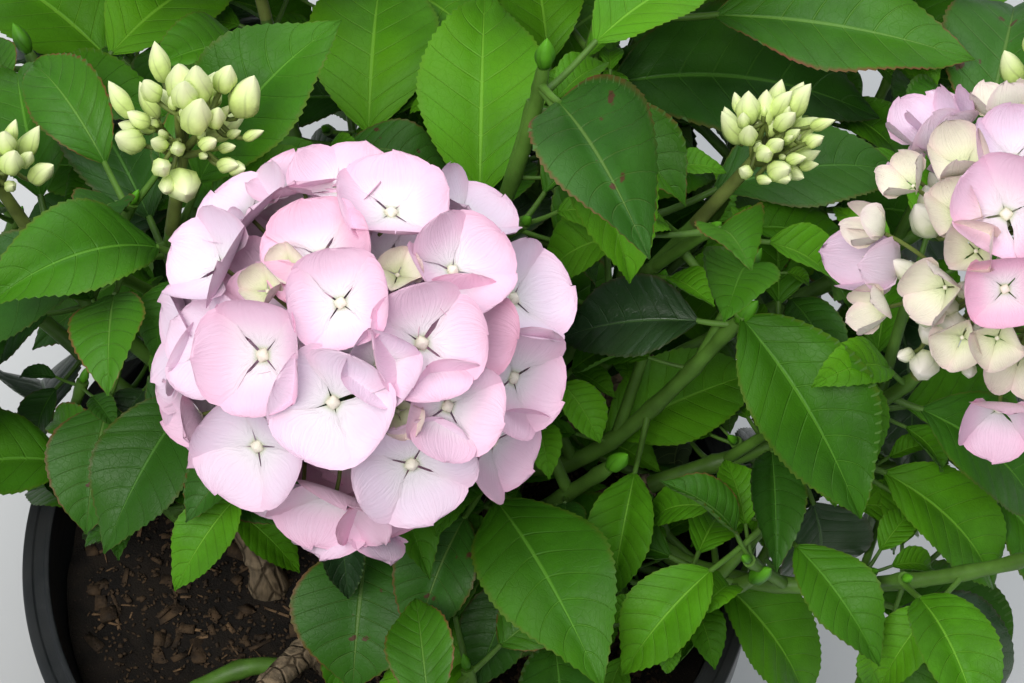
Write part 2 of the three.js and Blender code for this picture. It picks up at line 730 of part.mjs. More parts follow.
function mopheadSolid(part) {
  const radius = part.kind.radius * part.size;
  const core = coreSolid(part.centre, part.top, 0.84 * radius, 0.94, 1);
  const florets = spreadDirections(MOPHEAD_FLORETS, -0.5, part.shoot.turn).map((direction, index) => {
    const out = tilted(direction, part.top);
    const place = part.centre.clone().addScaledVector(out, 0.92 * radius);
    return floretSolid(place, out, FLORET_RADIUS * part.size, 0.2 * radius, index);
  });
  return fuse([stalkSolid(part), core, ...florets]);
}

function budHeadSolid(part) {
  const radius = part.kind.radius * part.size;
  const core = coreSolid(part.centre, part.top, 0.52 * radius, 0.8, 0);
  const buds = spreadDirections(BUDS, -0.25, part.shoot.turn).map((direction, index) => {
    const out = tilted(direction, part.top);
    return budSolid(part.centre, out, 0.2 * radius, radius * (0.86 + 0.07 * (index % 3)), 0.24 * radius);
  });
  return fuse([stalkSolid(part), core, ...buds]);
}

function halfHeadSolid(part) {
  const radius = part.kind.radius * part.size;
  const core = coreSolid(part.centre, part.top, 0.6 * radius, 0.8, 1);
  const pieces = spreadDirections(2 * BUDS, -0.35, part.shoot.turn).map((direction, index) => {
    const out = tilted(direction, part.top);
    if (index % 2 === 0) {
      return budSolid(part.centre, out, 0.4 * radius, 0.86 * radius, 0.13 * radius);
    }
    const place = part.centre.clone().addScaledVector(out, 0.84 * radius);
    return floretSolid(place, out, 0.88 * FLORET_RADIUS, 0.5 * radius, index);
  });
  return fuse([stalkSolid(part), core, ...pieces]);
}

// Pot and compost

function lathe(profile, segments) {
  const points = profile.map(([radius, height]) => new THREE.Vector2(radius, height));
  const geometry = new THREE.LatheGeometry(points, segments);
  geometry.rotateX(Math.PI / 2);
  return geometry;
}

function innerRadiusAt(height) {
  const outer = POT_LIP_RADIUS - LIP_WIDTH;
  const inner = POT_FOOT_RADIUS - POT_WALL;
  return inner + ((outer - inner) * (height - POT_WALL)) / (POT_HEIGHT - POT_WALL);
}

// Round tapering pot with a flat foot and a broad lip that turns down outside as a skirt
function potSolid() {
  const skirt = POT_HEIGHT - LIP_DEPTH;
  const profile = [
    [0, 0],
    [POT_FOOT_RADIUS, 0],
    [innerRadiusAt(skirt) + POT_WALL, skirt],
    [POT_LIP_RADIUS - 1, skirt],
    [POT_LIP_RADIUS, POT_HEIGHT],
    [POT_LIP_RADIUS - LIP_WIDTH, POT_HEIGHT],
    [innerRadiusAt(POT_WALL), POT_WALL],
    [0, POT_WALL],
  ];
  return solidFromGeometry(lathe(profile, POT_SEGMENTS));
}

// Compost fills the pot: flat round the canes, uneven out to the wall
function compostSolid() {
  const low = POT_WALL + GAP;
  const facetLoss = Math.cos(Math.PI / COMPOST_SEGMENTS);
  const wallAt = (height) => innerRadiusAt(height) * facetLoss - 0.5 * GAP;
  const edge = COMPOST_LEVEL - COMPOST_BUMP;
  const profile = [
    [0, low],
    [wallAt(low) - 1, low],
    [wallAt(edge) - 1, edge],
    [0.5 * (wallAt(edge) + FLAT_CROWN_RADIUS) + 6, edge + 2],
    [0.5 * (wallAt(edge) + FLAT_CROWN_RADIUS) - 12, COMPOST_LEVEL],
    [FLAT_CROWN_RADIUS, COMPOST_LEVEL],
    [0, COMPOST_LEVEL],
  ];
  const geometry = lathe(profile, COMPOST_SEGMENTS);
  const places = geometry.attributes.position;
  for (let index = 0; index < places.count; index += 1) {
    const x = places.getX(index);
    const y = places.getY(index);
    const onTop = places.getZ(index) > edge - 1 && Math.hypot(x, y) > FLAT_CROWN_RADIUS + 5;
    const wave = Math.sin(0.11 * x + 1.3) * Math.cos(0.13 * y - 0.4) + 0.6 * Math.sin(0.23 * x - 0.19 * y);
    places.setZ(index, places.getZ(index) + (onTop ? 0.5 * COMPOST_BUMP * wave : 0));
  }
  return solidFromGeometry(geometry);
}

// Assembly

function mesh(name, solid, color, roughness) {
  const material = new THREE.MeshStandardMaterial({ color, roughness, metalness: 0 });
  const piece = new THREE.Mesh(geometryOf(solid), material);
  piece.name = name;
  return piece;
}

function planPlant() {
  const caneOf = {};
  const mains = MAIN_SHOOTS.map((shoot, index) => {
    caneOf[shoot.name] = mainPath(shoot);
    const path = caneOf[shoot.name];
    const start = shareAfter(path, CANE_SHARE, GAP);
    const caneLimbs = limbPieces(path, 0, CANE_SHARE, caneRadius, 6);
    return { ...layOutShoot(shoot, index, path, start), caneLimbs };
  });
  const sides = SIDE_SHOOTS.map((shoot, index) => {
    const path = sidePath(shoot, caneOf);
    return { ...layOutShoot(shoot, MAIN_SHOOTS.length + index, path, 0), caneLimbs: [] };
  });
  return [...mains, ...sides];
}

function flowerHead(part) {
  const build = { mop: mopheadSolid, half: halfHeadSolid, bud: budHeadSolid }[part.shoot.head];
  const color = { mop: PETAL_PINK, half: CREAM, bud: BUD_GREEN }[part.shoot.head];
  return mesh(`${part.kind.title}_${part.shoot.name}`, build(part), color, 0.6);
}

function buildHydrangea() {
  const plant = new THREE.Group();
  plant.add(mesh("pot", potSolid(), POT_BLACK, 0.5));
  plant.add(mesh("compost", compostSolid(), COMPOST_BROWN, 0.95));
  const plan = planPlant();
  growLeaves(plan, keptSpaces(plan));
  for (const part of plan) {
    if (part.start > 0) {
      plant.add(mesh(`cane_${part.shoot.name}`, caneSolid(part.path), CANE_BROWN, 0.8));
    }
    plant.add(mesh(`leaves_${part.shoot.name}`, foliageSolid(part), LEAF_GREEN, 0.55));
    if (part.kind) {
      plant.add(flowerHead(part));
    }
  }
  return plant;
}

export default buildHydrangea();
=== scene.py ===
"""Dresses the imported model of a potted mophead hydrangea.

The plant grows here by the rule and the seeds of its solids, with slimmer stems and more leaves.
The leaves and florets that the photograph shows best are set by tables first. All is finer than
in the solids: toothed and quilted leaves, barked canes, four-sepalled florets, buds on branching
stalks, crumbly compost and a moulded pot. Lengths are millimetres until a mesh is made.
"""
import functools
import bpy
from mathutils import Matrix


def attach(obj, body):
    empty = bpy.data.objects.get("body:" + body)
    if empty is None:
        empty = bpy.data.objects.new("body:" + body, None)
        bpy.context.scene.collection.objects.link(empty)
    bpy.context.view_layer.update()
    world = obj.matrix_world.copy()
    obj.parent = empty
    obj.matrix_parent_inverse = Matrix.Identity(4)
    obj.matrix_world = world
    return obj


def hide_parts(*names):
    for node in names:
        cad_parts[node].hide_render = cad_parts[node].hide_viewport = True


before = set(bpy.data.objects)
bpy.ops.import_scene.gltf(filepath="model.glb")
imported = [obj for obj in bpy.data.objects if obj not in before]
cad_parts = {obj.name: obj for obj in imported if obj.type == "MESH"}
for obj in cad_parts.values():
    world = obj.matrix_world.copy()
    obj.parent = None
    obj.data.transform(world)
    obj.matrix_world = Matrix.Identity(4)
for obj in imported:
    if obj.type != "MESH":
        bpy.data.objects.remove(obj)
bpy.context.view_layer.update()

from types import SimpleNamespace

import bpy
import numpy as np
from bpy.props import FloatProperty, FloatVectorProperty, IntProperty, PointerProperty

bl_info = {
    "name": "Potted hydrangea",
    "version": (1, 0, 0),
    "blender": (4, 5, 0),
    "location": "3D View > Sidebar > Hydrangea",
    "description": "Leaves, canes, flower heads, compost and pot of a potted hydrangea",
    "category": "Add Mesh",
}

# Measures of the growth rule. Pot, canes and paths are as in the solids; stems and leaves are
# slimmer, and the pairs of leaves stand closer.
POT_HEIGHT, POT_FOOT_RADIUS, POT_LIP_RADIUS = 250, 113, 150
POT_WALL, LIP_WIDTH, LIP_DEPTH = 3, 11, 24
COMPOST_LEVEL, COMPOST_BUMP, FLAT_CROWN_RADIUS, GAP = 228, 5, 74, 0.3
CANE_FOOT_RADIUS, CANE_END_RADIUS, ROOT_FLARE, FLARE_SHARE, CANE_SHARE = 6.4, 4.6, 1.35, 0.12, 0.44
STEM_RINGS, STEM_START_RADIUS, STEM_END_RADIUS = 3, 3.6, 2.6
INNER, OUTER = 23, 52
CANE_UP, CANE_ARRIVE, SIDE_OUT, SIDE_ARRIVE, PATH_STEPS = 0.4, 0.35, 0.3, 0.3, 16
SMALL_SHARE = 1 / 1024
TWIG_LENGTH, TWIG_RISE, TWIG_TURN, TWIG_LENGTHS = 44, 60, (-15, 15), (0.75, 1.25)
TWIG_ABOVE_PAIR, TWIG_RADIUS, TWIG_LEAF_SHARE, STALK_RADIUS = 0.02, 2.2, 0.93, 2.6
TWIG_LEAVES = ((90, 0.7), (-90, 0.7), (0, 0.6))
LEAF_LENGTH, LEAF_HALF_WIDTH, PETIOLE_LENGTH = 102, 0.265, 24
RIB_MIDDLE = 0.45
PAIR_BELOW_TIP, PAIR_SPACING, MOST_PAIRS, MOST_TWIGS, LOWEST_PAIR, LEAF_TRIES = 9, 22, 7, 4, 6, 14
TOP_PAIR_SCALE, LOWER_PAIR_SCALE, SCALE_PER_PAIR = 0.86, 1.05, 0.05
POSE = {"width": (0.92, 1.2), "turn": (-13, 13), "rise": (26, 42), "droop": (50, 94),
        "roll": (-15, 15), "fold": (12, 26), "length": (0.84, 1.18), "petiole": (0.8, 1.3),
        "swing": (-4, 4)}
LOWER_PER_PAIR = 9
RETRY = {"turn": 4.5, "rise": 8, "rise_step": 1.6, "droop": 9, "shorter": 0.026}
BLADE_SHARES = np.array([0.28, 0.64])
SAMPLE_SHARES = np.array([0.08, 0.2, 0.32, 0.44, 0.56, 0.68, 0.8, 0.92, 1])
LEAF_CLEARANCE, POT_CLEARANCE, SHEET_CLEARANCE, EDGE_CLEARANCE, LEAF_REACH = 2.6, 5, 1.9, 1.5, 0.72
SPACE_CLEARANCE = 2
HEADS = {"mop": (70, 80), "half": (60, 76), "bud": (27, 56)}
GOLDEN_TURN = 137.508
LIGHT_WAY, LIT_REACH = np.array([0, -0.6, 0.8]), 1.5

# Name, compass of the foot, ring of the foot, head, place, lean, turn of the top pair, size
MAIN_SHOOTS = [
    ("front", -95, INNER, "mop", (-1, -43, 444), (0.02, -0.34), 205, 1),
    ("left", 170, INNER, "bud", (-62, 32, 468), (0.2, 0.0), 205, 1),
    ("right", 5, INNER, "bud", (141, 41, 451), (0.6, 0.12), 250, 0.82),
    ("middle", 85, INNER, None, (61, 66, 462), (0.1, 0.1), -38, 1),
    ("far_left", 152, OUTER, "bud", (-140, 48, 429), (-0.34, 0.12), 110, 0.84),
    ("side_left", 192, OUTER, None, (-178, 80, 348), (-0.8, 0.2), 95, 1),
    ("back_left", 112, OUTER, "mop", (-66, 210, 440), (-0.2, 0.45), 20, 1),
    ("back", 70, OUTER, "mop", (100, 200, 470), (0.15, 0.42), 65, 1),
    ("side_right", 27, OUTER, "bud", (262, 92, 424), (0.6, 0.15), 60, 1),
    ("half_open", -14, OUTER, "half", (222, -12, 446), (0.32, -0.1), 170, 1),
    ("front_right", -62, OUTER, "mop", (66, -214, 366), (0.15, -0.7), 15, 0.9),
    ("front_left", -116, OUTER, "bud", (-112, -214, 344), (-0.3, -0.8), 60, 1),
]
# Name, cane that it leaves, how far up that cane, head, place, lean, turn of the top pair
SIDE_SHOOTS = [
    ("low_middle", "front", 0.72, None, (86, -30, 350), (0.5, -0.2), 30),
    ("mid_right", "right", 0.8, None, (132, 6, 392), (0.5, 0.0), -42),
    ("low_right", "front_right", 0.75, None, (140, -56, 312), (0.5, -0.2), -70),
    ("outer_right", "half_open", 0.9, None, (238, -66, 346), (0.7, -0.25), 20),
    ("low_left", "side_left", 0.5, None, (-104, -2, 304), (-0.6, -0.2), 225),
    ("outer_left", "far_left", 0.85, None, (-150, 168, 356), (-0.5, 0.6), 30),
    ("low_front_left", "front_left", 0.7, None, (-150, -164, 296), (-0.7, -0.6), 60),
    ("low_back_left", "back_left", 0.7, None, (-128, 218, 330), (-0.5, 0.7), 20),
    ("low_back", "back", 0.65, None, (34, 236, 330), (0.0, 0.8), 40),
    ("back_right", "back", 0.85, "bud", (212, 186, 418), (0.55, 0.4), 100),
]
# Leafy side shoots that only the dressed plant has, to fill the crown between the others
FINER_SHOOTS = [
    ("fill_right", "side_right", 0.8, None, (150, 128, 332), (0.2, 0.3), 10),
    ("fill_far_right", "side_right", 0.95, None, (222, 158, 350), (0.4, 0.4), 55),
    ("fill_low_right", "half_open", 0.6, None, (206, -44, 290), (0.6, -0.4), -30),
    ("fill_back", "back_left", 0.9, None, (-28, 246, 352), (0.1, 0.6), 75),
    ("fill_back_left", "far_left", 0.95, None, (-96, 244, 350), (-0.1, 0.7), 20),
    ("fill_middle", "right", 0.6, None, (108, 66, 326), (0.2, 0.2), 45),
    ("fill_side_left", "side_left", 0.8, None, (-170, 20, 330), (-0.7, -0.1), 60),
    ("fill_far_back", "back", 0.8, None, (110, 222, 348), (0.1, 0.5), 30),
    ("fill_side_right", "side_right", 0.6, None, (240, 4, 322), (0.6, -0.2), 15),
    ("fill_back_right", "back", 0.95, None, (196, 214, 346), (0.4, 0.5), 70),
]
# Balls that stay free of dealt leaves, so that the compost and the pot show as in the photograph
OPEN_SPACES = [((-76, -82, 272), 52), ((-62, -108, 334), 46), ((-148, -62, 290), 38),
               ((112, -128, 282), 34), ((214, -136, 300), 42), ((-126, -92, 334), 42)]

# Leaves that are set before the rule deals its own. Shoot, place on it (a share of its stem, or
# 2.6 for 0.6 of its second twig), finish, compass, rise, droop, length, petiole, width, fold, and
# up to the last that isn't 0: roll, curl of the right margin and of the left one
# A set leaf's finish follows how light or dark it looks in its place, so it is partly painted light
# and shade: leaves in shadow have deep or dark, lit ones bright
SET_LEAVES = [
    ("right", 0.94, "fresh", 306, -6, 48, 87, 38, 1.06, 16, 0, 0, 0.45),
    ("mid_right", 0.23, "bright", 23, 20, 28, 71, 23, 1.15, 12),
    ("middle", 0.97, "worn", 292, 25, 43, 80, 18, 1.15, 30, 8, 0, 0.5),
    ("low_middle", 2.93, "fresh", 296, 25, 50, 88, 12, 1.06, 14),
    ("half_open", 0.7, "dark", 329, -26, 73, 64, 27, 1.6, 10),
    ("front", 2.93, "bright", 230, -6, 48, 45, 36, 1, 16),
    ("low_back_left", 3.6, "bright", 141, 27, 48, 85, 22, 1.3, 12),
    ("outer_left", 2.6, "bright", 48, 21, 56, 79, 40, 1.2, 12),
    ("back_left", 4.93, "bright", 88, 35, 68, 91, 11, 1.15, 12),
    ("middle", 0.61, "bright", 89, 36, 50, 96, 23, 1, 14),
    ("back", 0.79, "deep", 354, 25, 58, 115, 14, 1.2, 12),
    ("back", 1.6, "edged", 350, 10, 27, 104, 35, 1.1, 12),
    ("back", 0.91, "bright", 12, 22, 54, 85, 39, 1, 12),
    ("fill_right", 0.89, "fresh", 216, 10, 50, 52, 20, 1, 18),
    ("right", 2.6, "deep", 15, 16, 52, 79, 32, 1.1, 12),
    ("fill_far_right", 0.74, "bright", 240, -2, 48, 46, 28, 1, 18),
    ("fill_far_right", 0.56, "fresh", 356, 11, 44, 61, 25, 1.1, 12),
    ("far_left", 0.7, "worn", 260, -5, 47, 53, 28, 1.35, 12),
    ("back_right", 0.23, "bright", 359, -3, 74, 68, 23, 1.1, 16),
    # This dark leaf lies in shadow under the leaves above: its finish is partly painted shade
    ("mid_right", 0.98, "dark", 174, 1, 42, 56, 13, 1.3, 10),
    ("mid_right", 0.59, "bright", 257, -7, 57, 50, 26, 1.1, 32, 6),
    ("half_open", 4.93, "deep", 269, 16, 47, 50, 11, 1, 34, 0, 0.4),
    ("low_right", 1.93, "fresh", 305, 11, 56, 55, 15, 1, 16),
    ("fill_low_right", 0.2, "bright", 287, 6, 51, 31, 12, 1.2, 20),
    ("low_right", 1.93, "bright", 223, 1, 60, 53, 31, 1.1, 20),
    ("half_open", 0.73, "bright", 330, -4, 71, 73, 32, 1, 16),
    ("half_open", 0.85, "bright", 6, -1, 58, 65, 15, 1.1, 14),
    ("half_open", 0.91, "fresh", 336, -5, 67, 73, 12, 1.1, 14),
    ("low_middle", 0.17, "bright", 37, 14, 61, 40, 38, 1, 14),
    ("low_back", 0.68, "deep", 166, 11, 17, 99, 39, 0.95, 12),
    ("low_back_left", 0.56, "fresh", 171, 18, 47, 71, 16, 1, 12),
    ("low_back_left", 0.44, "edged", 213, 12, 51, 73, 20, 1.15, 14),
    ("low_back_left", 0.5, "deep", 174, 8, 47, 61, 21, 1.1, 12),
    ("outer_left", 0.53, "fresh", 193, -3, 55, 50, 24, 1.2, 12),
    ("fill_back_left", 0.11, "dark", 165, -5, 59, 45, 19, 1, 14),
    ("left", 0.61, "deep", 240, 1, 46, 69, 20, 1.1, 14),
    ("front", 0.55, "worn", 264, -3, 52, 58, 25, 1.7, 10),
    ("front", 2.6, "dark", 277, -23, 52, 45, 19, 0.9, 34, 0, 0.4, 0.5),
    ("low_middle", 0.71, "deep", 244, -10, 39, 45, 36, 1.2, 14),
    ("fill_side_left", 0.02, "bright", 324, -2, 54, 39, 25, 1, 16),
    ("back", 4.6, "bright", 97, 31, 55, 68, 25, 1, 14),
    ("middle", 0.94, "bright", 42, 19, 56, 67, 29, 1, 14),
    ("middle", 0.61, "fresh", 68, 18, 57, 33, 22, 1, 14),
    ("fill_low_right", 4.6, "bright", 321, -14, 63, 74, 26, 0.95, 16),
]
# Florets that are set before the rule deals its own: compass and rise from the head's centre,
# depth as a share of its radius, reach in mm, cup, turn, finish
SET_FLORETS = {
    "front": [
        (-95, 69, 0.86, 18.5, 0.5, 15, "pink"), (-130, 46, 0.84, 22, 0.55, 20, "pink"),
        (-75, 50, 0.86, 14.5, 0.8, 50, "pale"), (-95, 40, 0.88, 21, 0.42, 65, "pale"),
        (-52, 51, 0.84, 22, 0.5, 80, "pink"), (-123, 13, 0.8, 21, 0.45, 70, "pale"),
        (-174, 80, 0.76, 20, 0.35, 15, "rose"), (170, 40, 0.8, 20, 0.6, 50, "pale"),
        (138, 33, 0.8, 21, 0.45, 65, "pale"), (114, 38, 0.8, 20, 0.4, 70, "pink"),
        (98, 53, 0.78, 19, 0.5, 60, "pink"), (54, 68, 0.8, 21, 0.45, 5, "pink"),
        (-5, 56, 0.82, 20, 0.5, 70, "pink"), (44, 28, 0.8, 19, 0.5, 25, "pale"),
        (5, 24, 0.8, 21, 0.5, 35, "pale"), (-54, 30, 0.86, 19, 0.55, 55, "pink"),
        (-70, 13, 0.82, 22, 0.35, 10, "pale"), (-21, 13, 0.8, 21, 0.45, 30, "pink"),
        (-35, -8, 0.78, 20, 0.5, 25, "pink"), (153, 26, 0.78, 16, 0.4, 60, "pale"),
        (-28, 44, 0.74, 20, 0.5, 45, "rose"), (-152, 61, 0.84, 9, 1.1, 80, "cream"),
        (-71, 33, 0.8, 9, 1.2, 50, "cream"), (-27, 72, 0.78, 9, 1.0, 30, "cream"),
        (-169, 69, 0.78, 8, 1.0, 45, "cream"),
    ],
    "half_open": [
        (128, 28, 0.85, 16, 1.0, 70, "pale"), (121, 31, 0.85, 15, 0.9, 70, "pale"),
        (141, 20, 0.8, 10, 0.6, 65, "pale"), (156, 32, 0.8, 11, 1.0, 80, "cream"),
        (165, 62, 0.9, 13, 1.1, 10, "cream"), (-134, 68, 0.9, 20, 0.7, 60, "pink"),
        (138, 76, 0.85, 16, 0.9, 85, "pale"), (-113, 45, 0.9, 15, 0.8, 20, "rose"),
        (-123, 21, 0.85, 11, 1.0, 45, "cream"), (-110, 27, 0.88, 11, 1.0, 40, "cream"),
        (-102, -11, 0.85, 17, 0.7, 0, "pink"), (-163, 56, 0.85, 12, 1.2, 60, "cream"),
        (-135, 52, 0.9, 12, 1.2, 25, "cream"), (179, 5, 0.68, 16.5, 1.42, 45, "pale"),
    ],
}

# Smaller leaves are tried at these scales in the places where a full one has no room
EXTRA_LEAF_SCALES = (0.72, 0.5, 0.34)
# Teeth on a margin, and points across a blade: fewer for leaves under SMALL_LEAF
MIN_TEETH, MAX_TEETH, TOOTH_PITCH = 8, 27, 3.1
LEAF_COLUMNS = np.array([-1, -0.86, -0.64, -0.42, -0.2, 0, 0.2, 0.42, 0.64, 0.86, 1])
SMALL_LEAF, SMALL_LEAF_COLUMNS = 48, np.array([-1, -0.84, -0.45, 0, 0.45, 0.84, 1])
# Side veins: how far they sweep to the tip at the margin, how much less towards the tip, the
# power across, veins for each one that is asked for, and where the first one lies
VEIN_SWEEP, VEIN_STRAIGHTENS, VEIN_BEND, VEIN_RATE, VEIN_START = 0.21, 0.085, 1.25, 1.22, 10.35
# A leaf on its map: middle and half width of the upper side, foot and length of both sides
MAP_MIDDLE, MAP_HALF, MAP_FOOT, MAP_LENGTH = 0.25, 0.23, 0.02, 0.96
# A piece of leaves takes no further leaf once it has more faces than this
MOST_LEAF_FACES = 88000
# Leaves dealt on these shoots come out darker, as if older: painted shade for the left side of the
# plant, which lies in shade
SHADED_SHOOTS = ("far_left", "side_left", "left", "low_left", "outer_left", "low_back_left",
                 "fill_side_left", "fill_back_left")
PAINTED_SHADE_AGE = 0.32
# Age of other leaves: for each pair down the shoot, the most by chance, and what a root under or
# over LOW_ROOT adds; times AGE_STEPS it is the number of the leaf's finish, up to dark
AGE_PER_PAIR, AGE_CHANCE, LOW_ROOT, LOW_AGE, HIGH_AGE, AGE_STEPS = 0.24, 0.75, 330, 0.12, -0.05, 3.1
# A draw from 0 to 1 above these makes a leaf worn, red-edged, or curled at a margin
WORN_FROM, EDGED_FROM, CURLED_FROM = 0.94, 0.84, 0.8
CURLED, UNCURLED = (0.15, 0.6), (-0.12, 0.08)
# Quilting of a leaf as a share of the vein relief, and how many times more a set dark one has
QUILTED, DARK_QUILT = (0.4, 1.3), 2.2
# Thickness of a finer shoot's stem, as a share of the others'
FINER_STEM = 0.6
# Inner florets as a share of a head's outer ones, their turn, and depths as shares of its radius
INNER_FLORET_SHARE, INNER_TURN, INNER_DEPTH, OUTER_DEPTH = 0.45, 77, 0.56, 0.78
# Degrees round a set floret without dealt ones, on open heads and on the half-open one
SET_FLORET_SPACE, HALF_HEAD_SPACE = 25, 17
# Dealt florets and buds of the half-open head, and small buds inside a closed one
HALF_HEAD_FLORETS, HALF_HEAD_BUDS, INNER_BUDS = 34, 96, 22
# Balls over a set leaf that keep it in the light: shares of its rib, reaches towards the light,
# and radius as a share of its length. Leaves rooted in front of FRONT_LEAVES get longer reaches.
SET_LIT_SHARES, SET_LIT_REACHES, SET_LIT_RADIUS = (0.25, 0.5, 0.75), (26, 54, 84), 0.22
FRONT_LEAVES, FRONT_LIT_REACHES = 60, (26, 54, 84, 116, 150, 186)
# No leaf reaches further back than this
CROWN_BACK = 318
# A head's stalks: number of its forks, their lowest direction, how far out they are
FORKS, FORK_LOWEST, FORK_REACH = 9, -0.3, 0.4
# Share of a sepal at which it is widest, and the rest of it
SEPAL_WIDEST, SEPAL_END = 0.56, 0.44
# Radius from which a set floret keeps dealt ones away
FULL_FLORET = 12
COMPOST_EDGE_HEIGHT, COMPOST_SKIRT_FOOT, CLOD_PLACE = 225, 205, (-86, -84)
SHOOT_SEED, SMALL_LEAF_SEED, CHIP_SEED, LEAF_SEED = 7919, 104729, 21, 11
MOPHEAD_SEED, BUD_HEAD_SEED, HALF_HEAD_SEED, PETAL_TONE_SEED = 400, 700, 77, 31
UP, EAST = np.array([0.0, 0.0, 1.0]), np.array([1.0, 0.0, 0.0])
MM_PER_M, M_PER_MM = 1000, 0.001
LEAF_FINISHES = ("bright", "fresh", "deep", "dark", "edged", "worn")
PETAL_FINISHES = ("pink", "pale", "rose", "cream")
PINK, PALE, ROSE, CREAM = range(4)
# The photograph's camera, in metres, degrees from straight down, and millimetres of its sensor
CAMERA_PLACE, CAMERA_TILT, CAMERA_LENS, CAMERA_SENSOR = (0.050, -0.4995, 1.1009), 35, 84.375, 36


# Settings

def colour(name, description, default):
    return FloatVectorProperty(name=name, description=description, subtype="COLOR", size=3,
                               min=0, max=1, default=default)


def measure(name, description, default):
    return FloatProperty(name=name, description=description, default=default * M_PER_MM, min=0.0,
                         unit="LENGTH", precision=4)


class HydrangeaSizes(bpy.types.PropertyGroup):
    tooth_depth: measure("Tooth depth", "How far the teeth of a long leaf stand out", 0.62)
    leaf_thickness: measure("Leaf thickness", "Thickness of a leaf blade", 0.5)
    vein_relief: measure("Vein relief", "How far a leaf bulges between its side veins", 0.3)
    leaf_wave: measure("Leaf wave", "Height of the slow waves along a leaf's margin", 2.0)
    side_veins: IntProperty(name="Side veins", description="Side veins on each half of a leaf",
                            default=7, min=3, max=12)
    florets: IntProperty(name="Florets", description="Florets on a full flower head",
                         default=52, min=20, max=200)
    floret_radius: measure("Floret radius", "Reach of one sepal from its floret's centre", 21.5)
    sepal_cup: FloatProperty(name="Sepal cup", default=0.42, min=0, max=1, subtype="FACTOR",
                             description="How far the sepals curve up into a bowl")
    buds: IntProperty(name="Buds", description="Buds on a closed flower head",
                      default=29, min=5, max=80)
    bud_length: measure("Bud length", "Length of a closed bud", 15.5)
    bark_relief: measure("Bark relief", "Depth of the grooves in the canes' bark", 0.55)
    chips: IntProperty(name="Bark chips", description="Chips of bark on the compost",
                       default=520, min=0, max=2000)


class HydrangeaColours(bpy.types.PropertyGroup):
    leaf_bright: colour("Bright leaf", "Young leaves in full light", (0.068, 0.24, 0.006))
    leaf_fresh: colour("Fresh leaf", "Most upper leaves", (0.037, 0.148, 0.005))
    leaf_deep: colour("Deep leaf", "Older leaves", (0.022, 0.090, 0.007))
    leaf_dark: colour("Dark leaf", "Oldest glossy blue-green leaves", (0.018, 0.056, 0.014))
    petal_pink: colour("Pink sepal", "Most open sepals", (0.77, 0.54, 0.67))
    petal_pale: colour("Pale sepal", "Sepals faded towards lilac white", (0.76, 0.62, 0.74))
    petal_rose: colour("Rose sepal", "Sepals with most colour", (0.78, 0.48, 0.62))
    petal_cream: colour("Cream sepal", "Young sepals that are still opening", (0.81, 0.77, 0.64))
    bud: colour("Bud", "Closed buds", (0.60, 0.74, 0.22))
    stalk: colour("Stalk", "Stalks inside the flower heads", (0.13, 0.17, 0.035))
    stem: colour("Green stem", "This year's stems and leaf stalks", (0.075, 0.17, 0.02))
    bark: colour("Bark", "Woody canes", (0.20, 0.145, 0.085))
    compost: colour("Compost", "Dark moist compost", (0.010, 0.007, 0.0045))
    chip: colour("Bark chip", "Dry chips and slivers on the compost", (0.075, 0.045, 0.022))
    pot: colour("Pot", "Slate-black moulded plastic", (0.012, 0.015, 0.018))
    floor: colour("Floor", "Plain pale floor", (0.62, 0.62, 0.61))


def sizes():
    return bpy.context.scene.hydrangea_sizes


def colours():
    return bpy.context.scene.hydrangea_colours


# Growth rule

def unit(way):
    """A direction divided by its length."""
    return way / np.linalg.norm(way, axis=-1, keepdims=True)


def seeded(seed):
    """Numbers from 0 to 1: each whole state is 1664525 times the last plus 1013904223."""
    state = seed & 0xFFFFFFFF

    def draw():
        nonlocal state
        state = (state * 1664525 + 1013904223) & 0xFFFFFFFF
        return state / 4294967296
    return draw


def within(span, draw):
    """A number drawn evenly between the two ends of a range."""
    return span[0] + (span[1] - span[0]) * draw()


def heading(compass, rise):
    """Unit vector: its level part is the cosine of the rise, turned to the compass angle."""
    turn, lift = np.radians(compass), np.radians(rise)
    level = np.cos(lift)
    return np.stack([level * np.cos(turn), level * np.sin(turn), np.sin(lift) + 0 * turn], -1)


def bend_point(path, share):
    """Cubic Bezier curve: four handles weighed by k^3, 3k^2t, 3kt^2 and t^3, where k is 1 - t."""
    t = np.asarray(share, float)[..., None]
    k = 1 - t
    return k**3 * path[0] + 3 * k * k * t * path[1] + 3 * k * t * t * path[2] + t**3 * path[3]


def bend_tangent(path, share):
    """Direction between the curve's points a ten-thousandth before and after the share."""
    low, high = max(share - 1e-4, 0), min(share + 1e-4, 1)
    return unit(bend_point(path, high) - bend_point(path, low))


def path_length(path):
    """Sum of the chords between 17 points evenly spread in share."""
    points = bend_point(path, np.arange(PATH_STEPS + 1) / PATH_STEPS)
    return np.linalg.norm(np.diff(points, axis=0), axis=1).sum()


def cane_radius(share):
    """Even taper from foot to end, swollen by the root flare over the first share."""
    flare = 1 + (ROOT_FLARE - 1) * np.maximum(0, 1 - share / FLARE_SHARE)
    return (CANE_FOOT_RADIUS + (CANE_END_RADIUS - CANE_FOOT_RADIUS) * share) * flare


def stem_radius(share):
    """Even taper from the stem's start to its tip."""
    return STEM_START_RADIUS + (STEM_END_RADIUS - STEM_START_RADIUS) * share


def shoot_top(head, at, lean, size):
    """Top direction, stem tip and head radius: the tip lies the head's reach below its centre."""
    top = unit(np.array([lean[0], lean[1], 1.0]))
    radius, reach = HEADS[head] if head else (0, 0)
    return top, np.array(at, float) - top * reach * size, radius * size


def main_path(foot, ring, top, tip):
    """Handles: foot, straight up from it, back from the tip along the top direction, tip."""
    start = heading(foot, 0) * ring + UP * (COMPOST_LEVEL + GAP)
    reach = np.linalg.norm(start - tip)
    return np.array([start, start + UP * CANE_UP * reach, tip - top * CANE_ARRIVE * reach, tip])


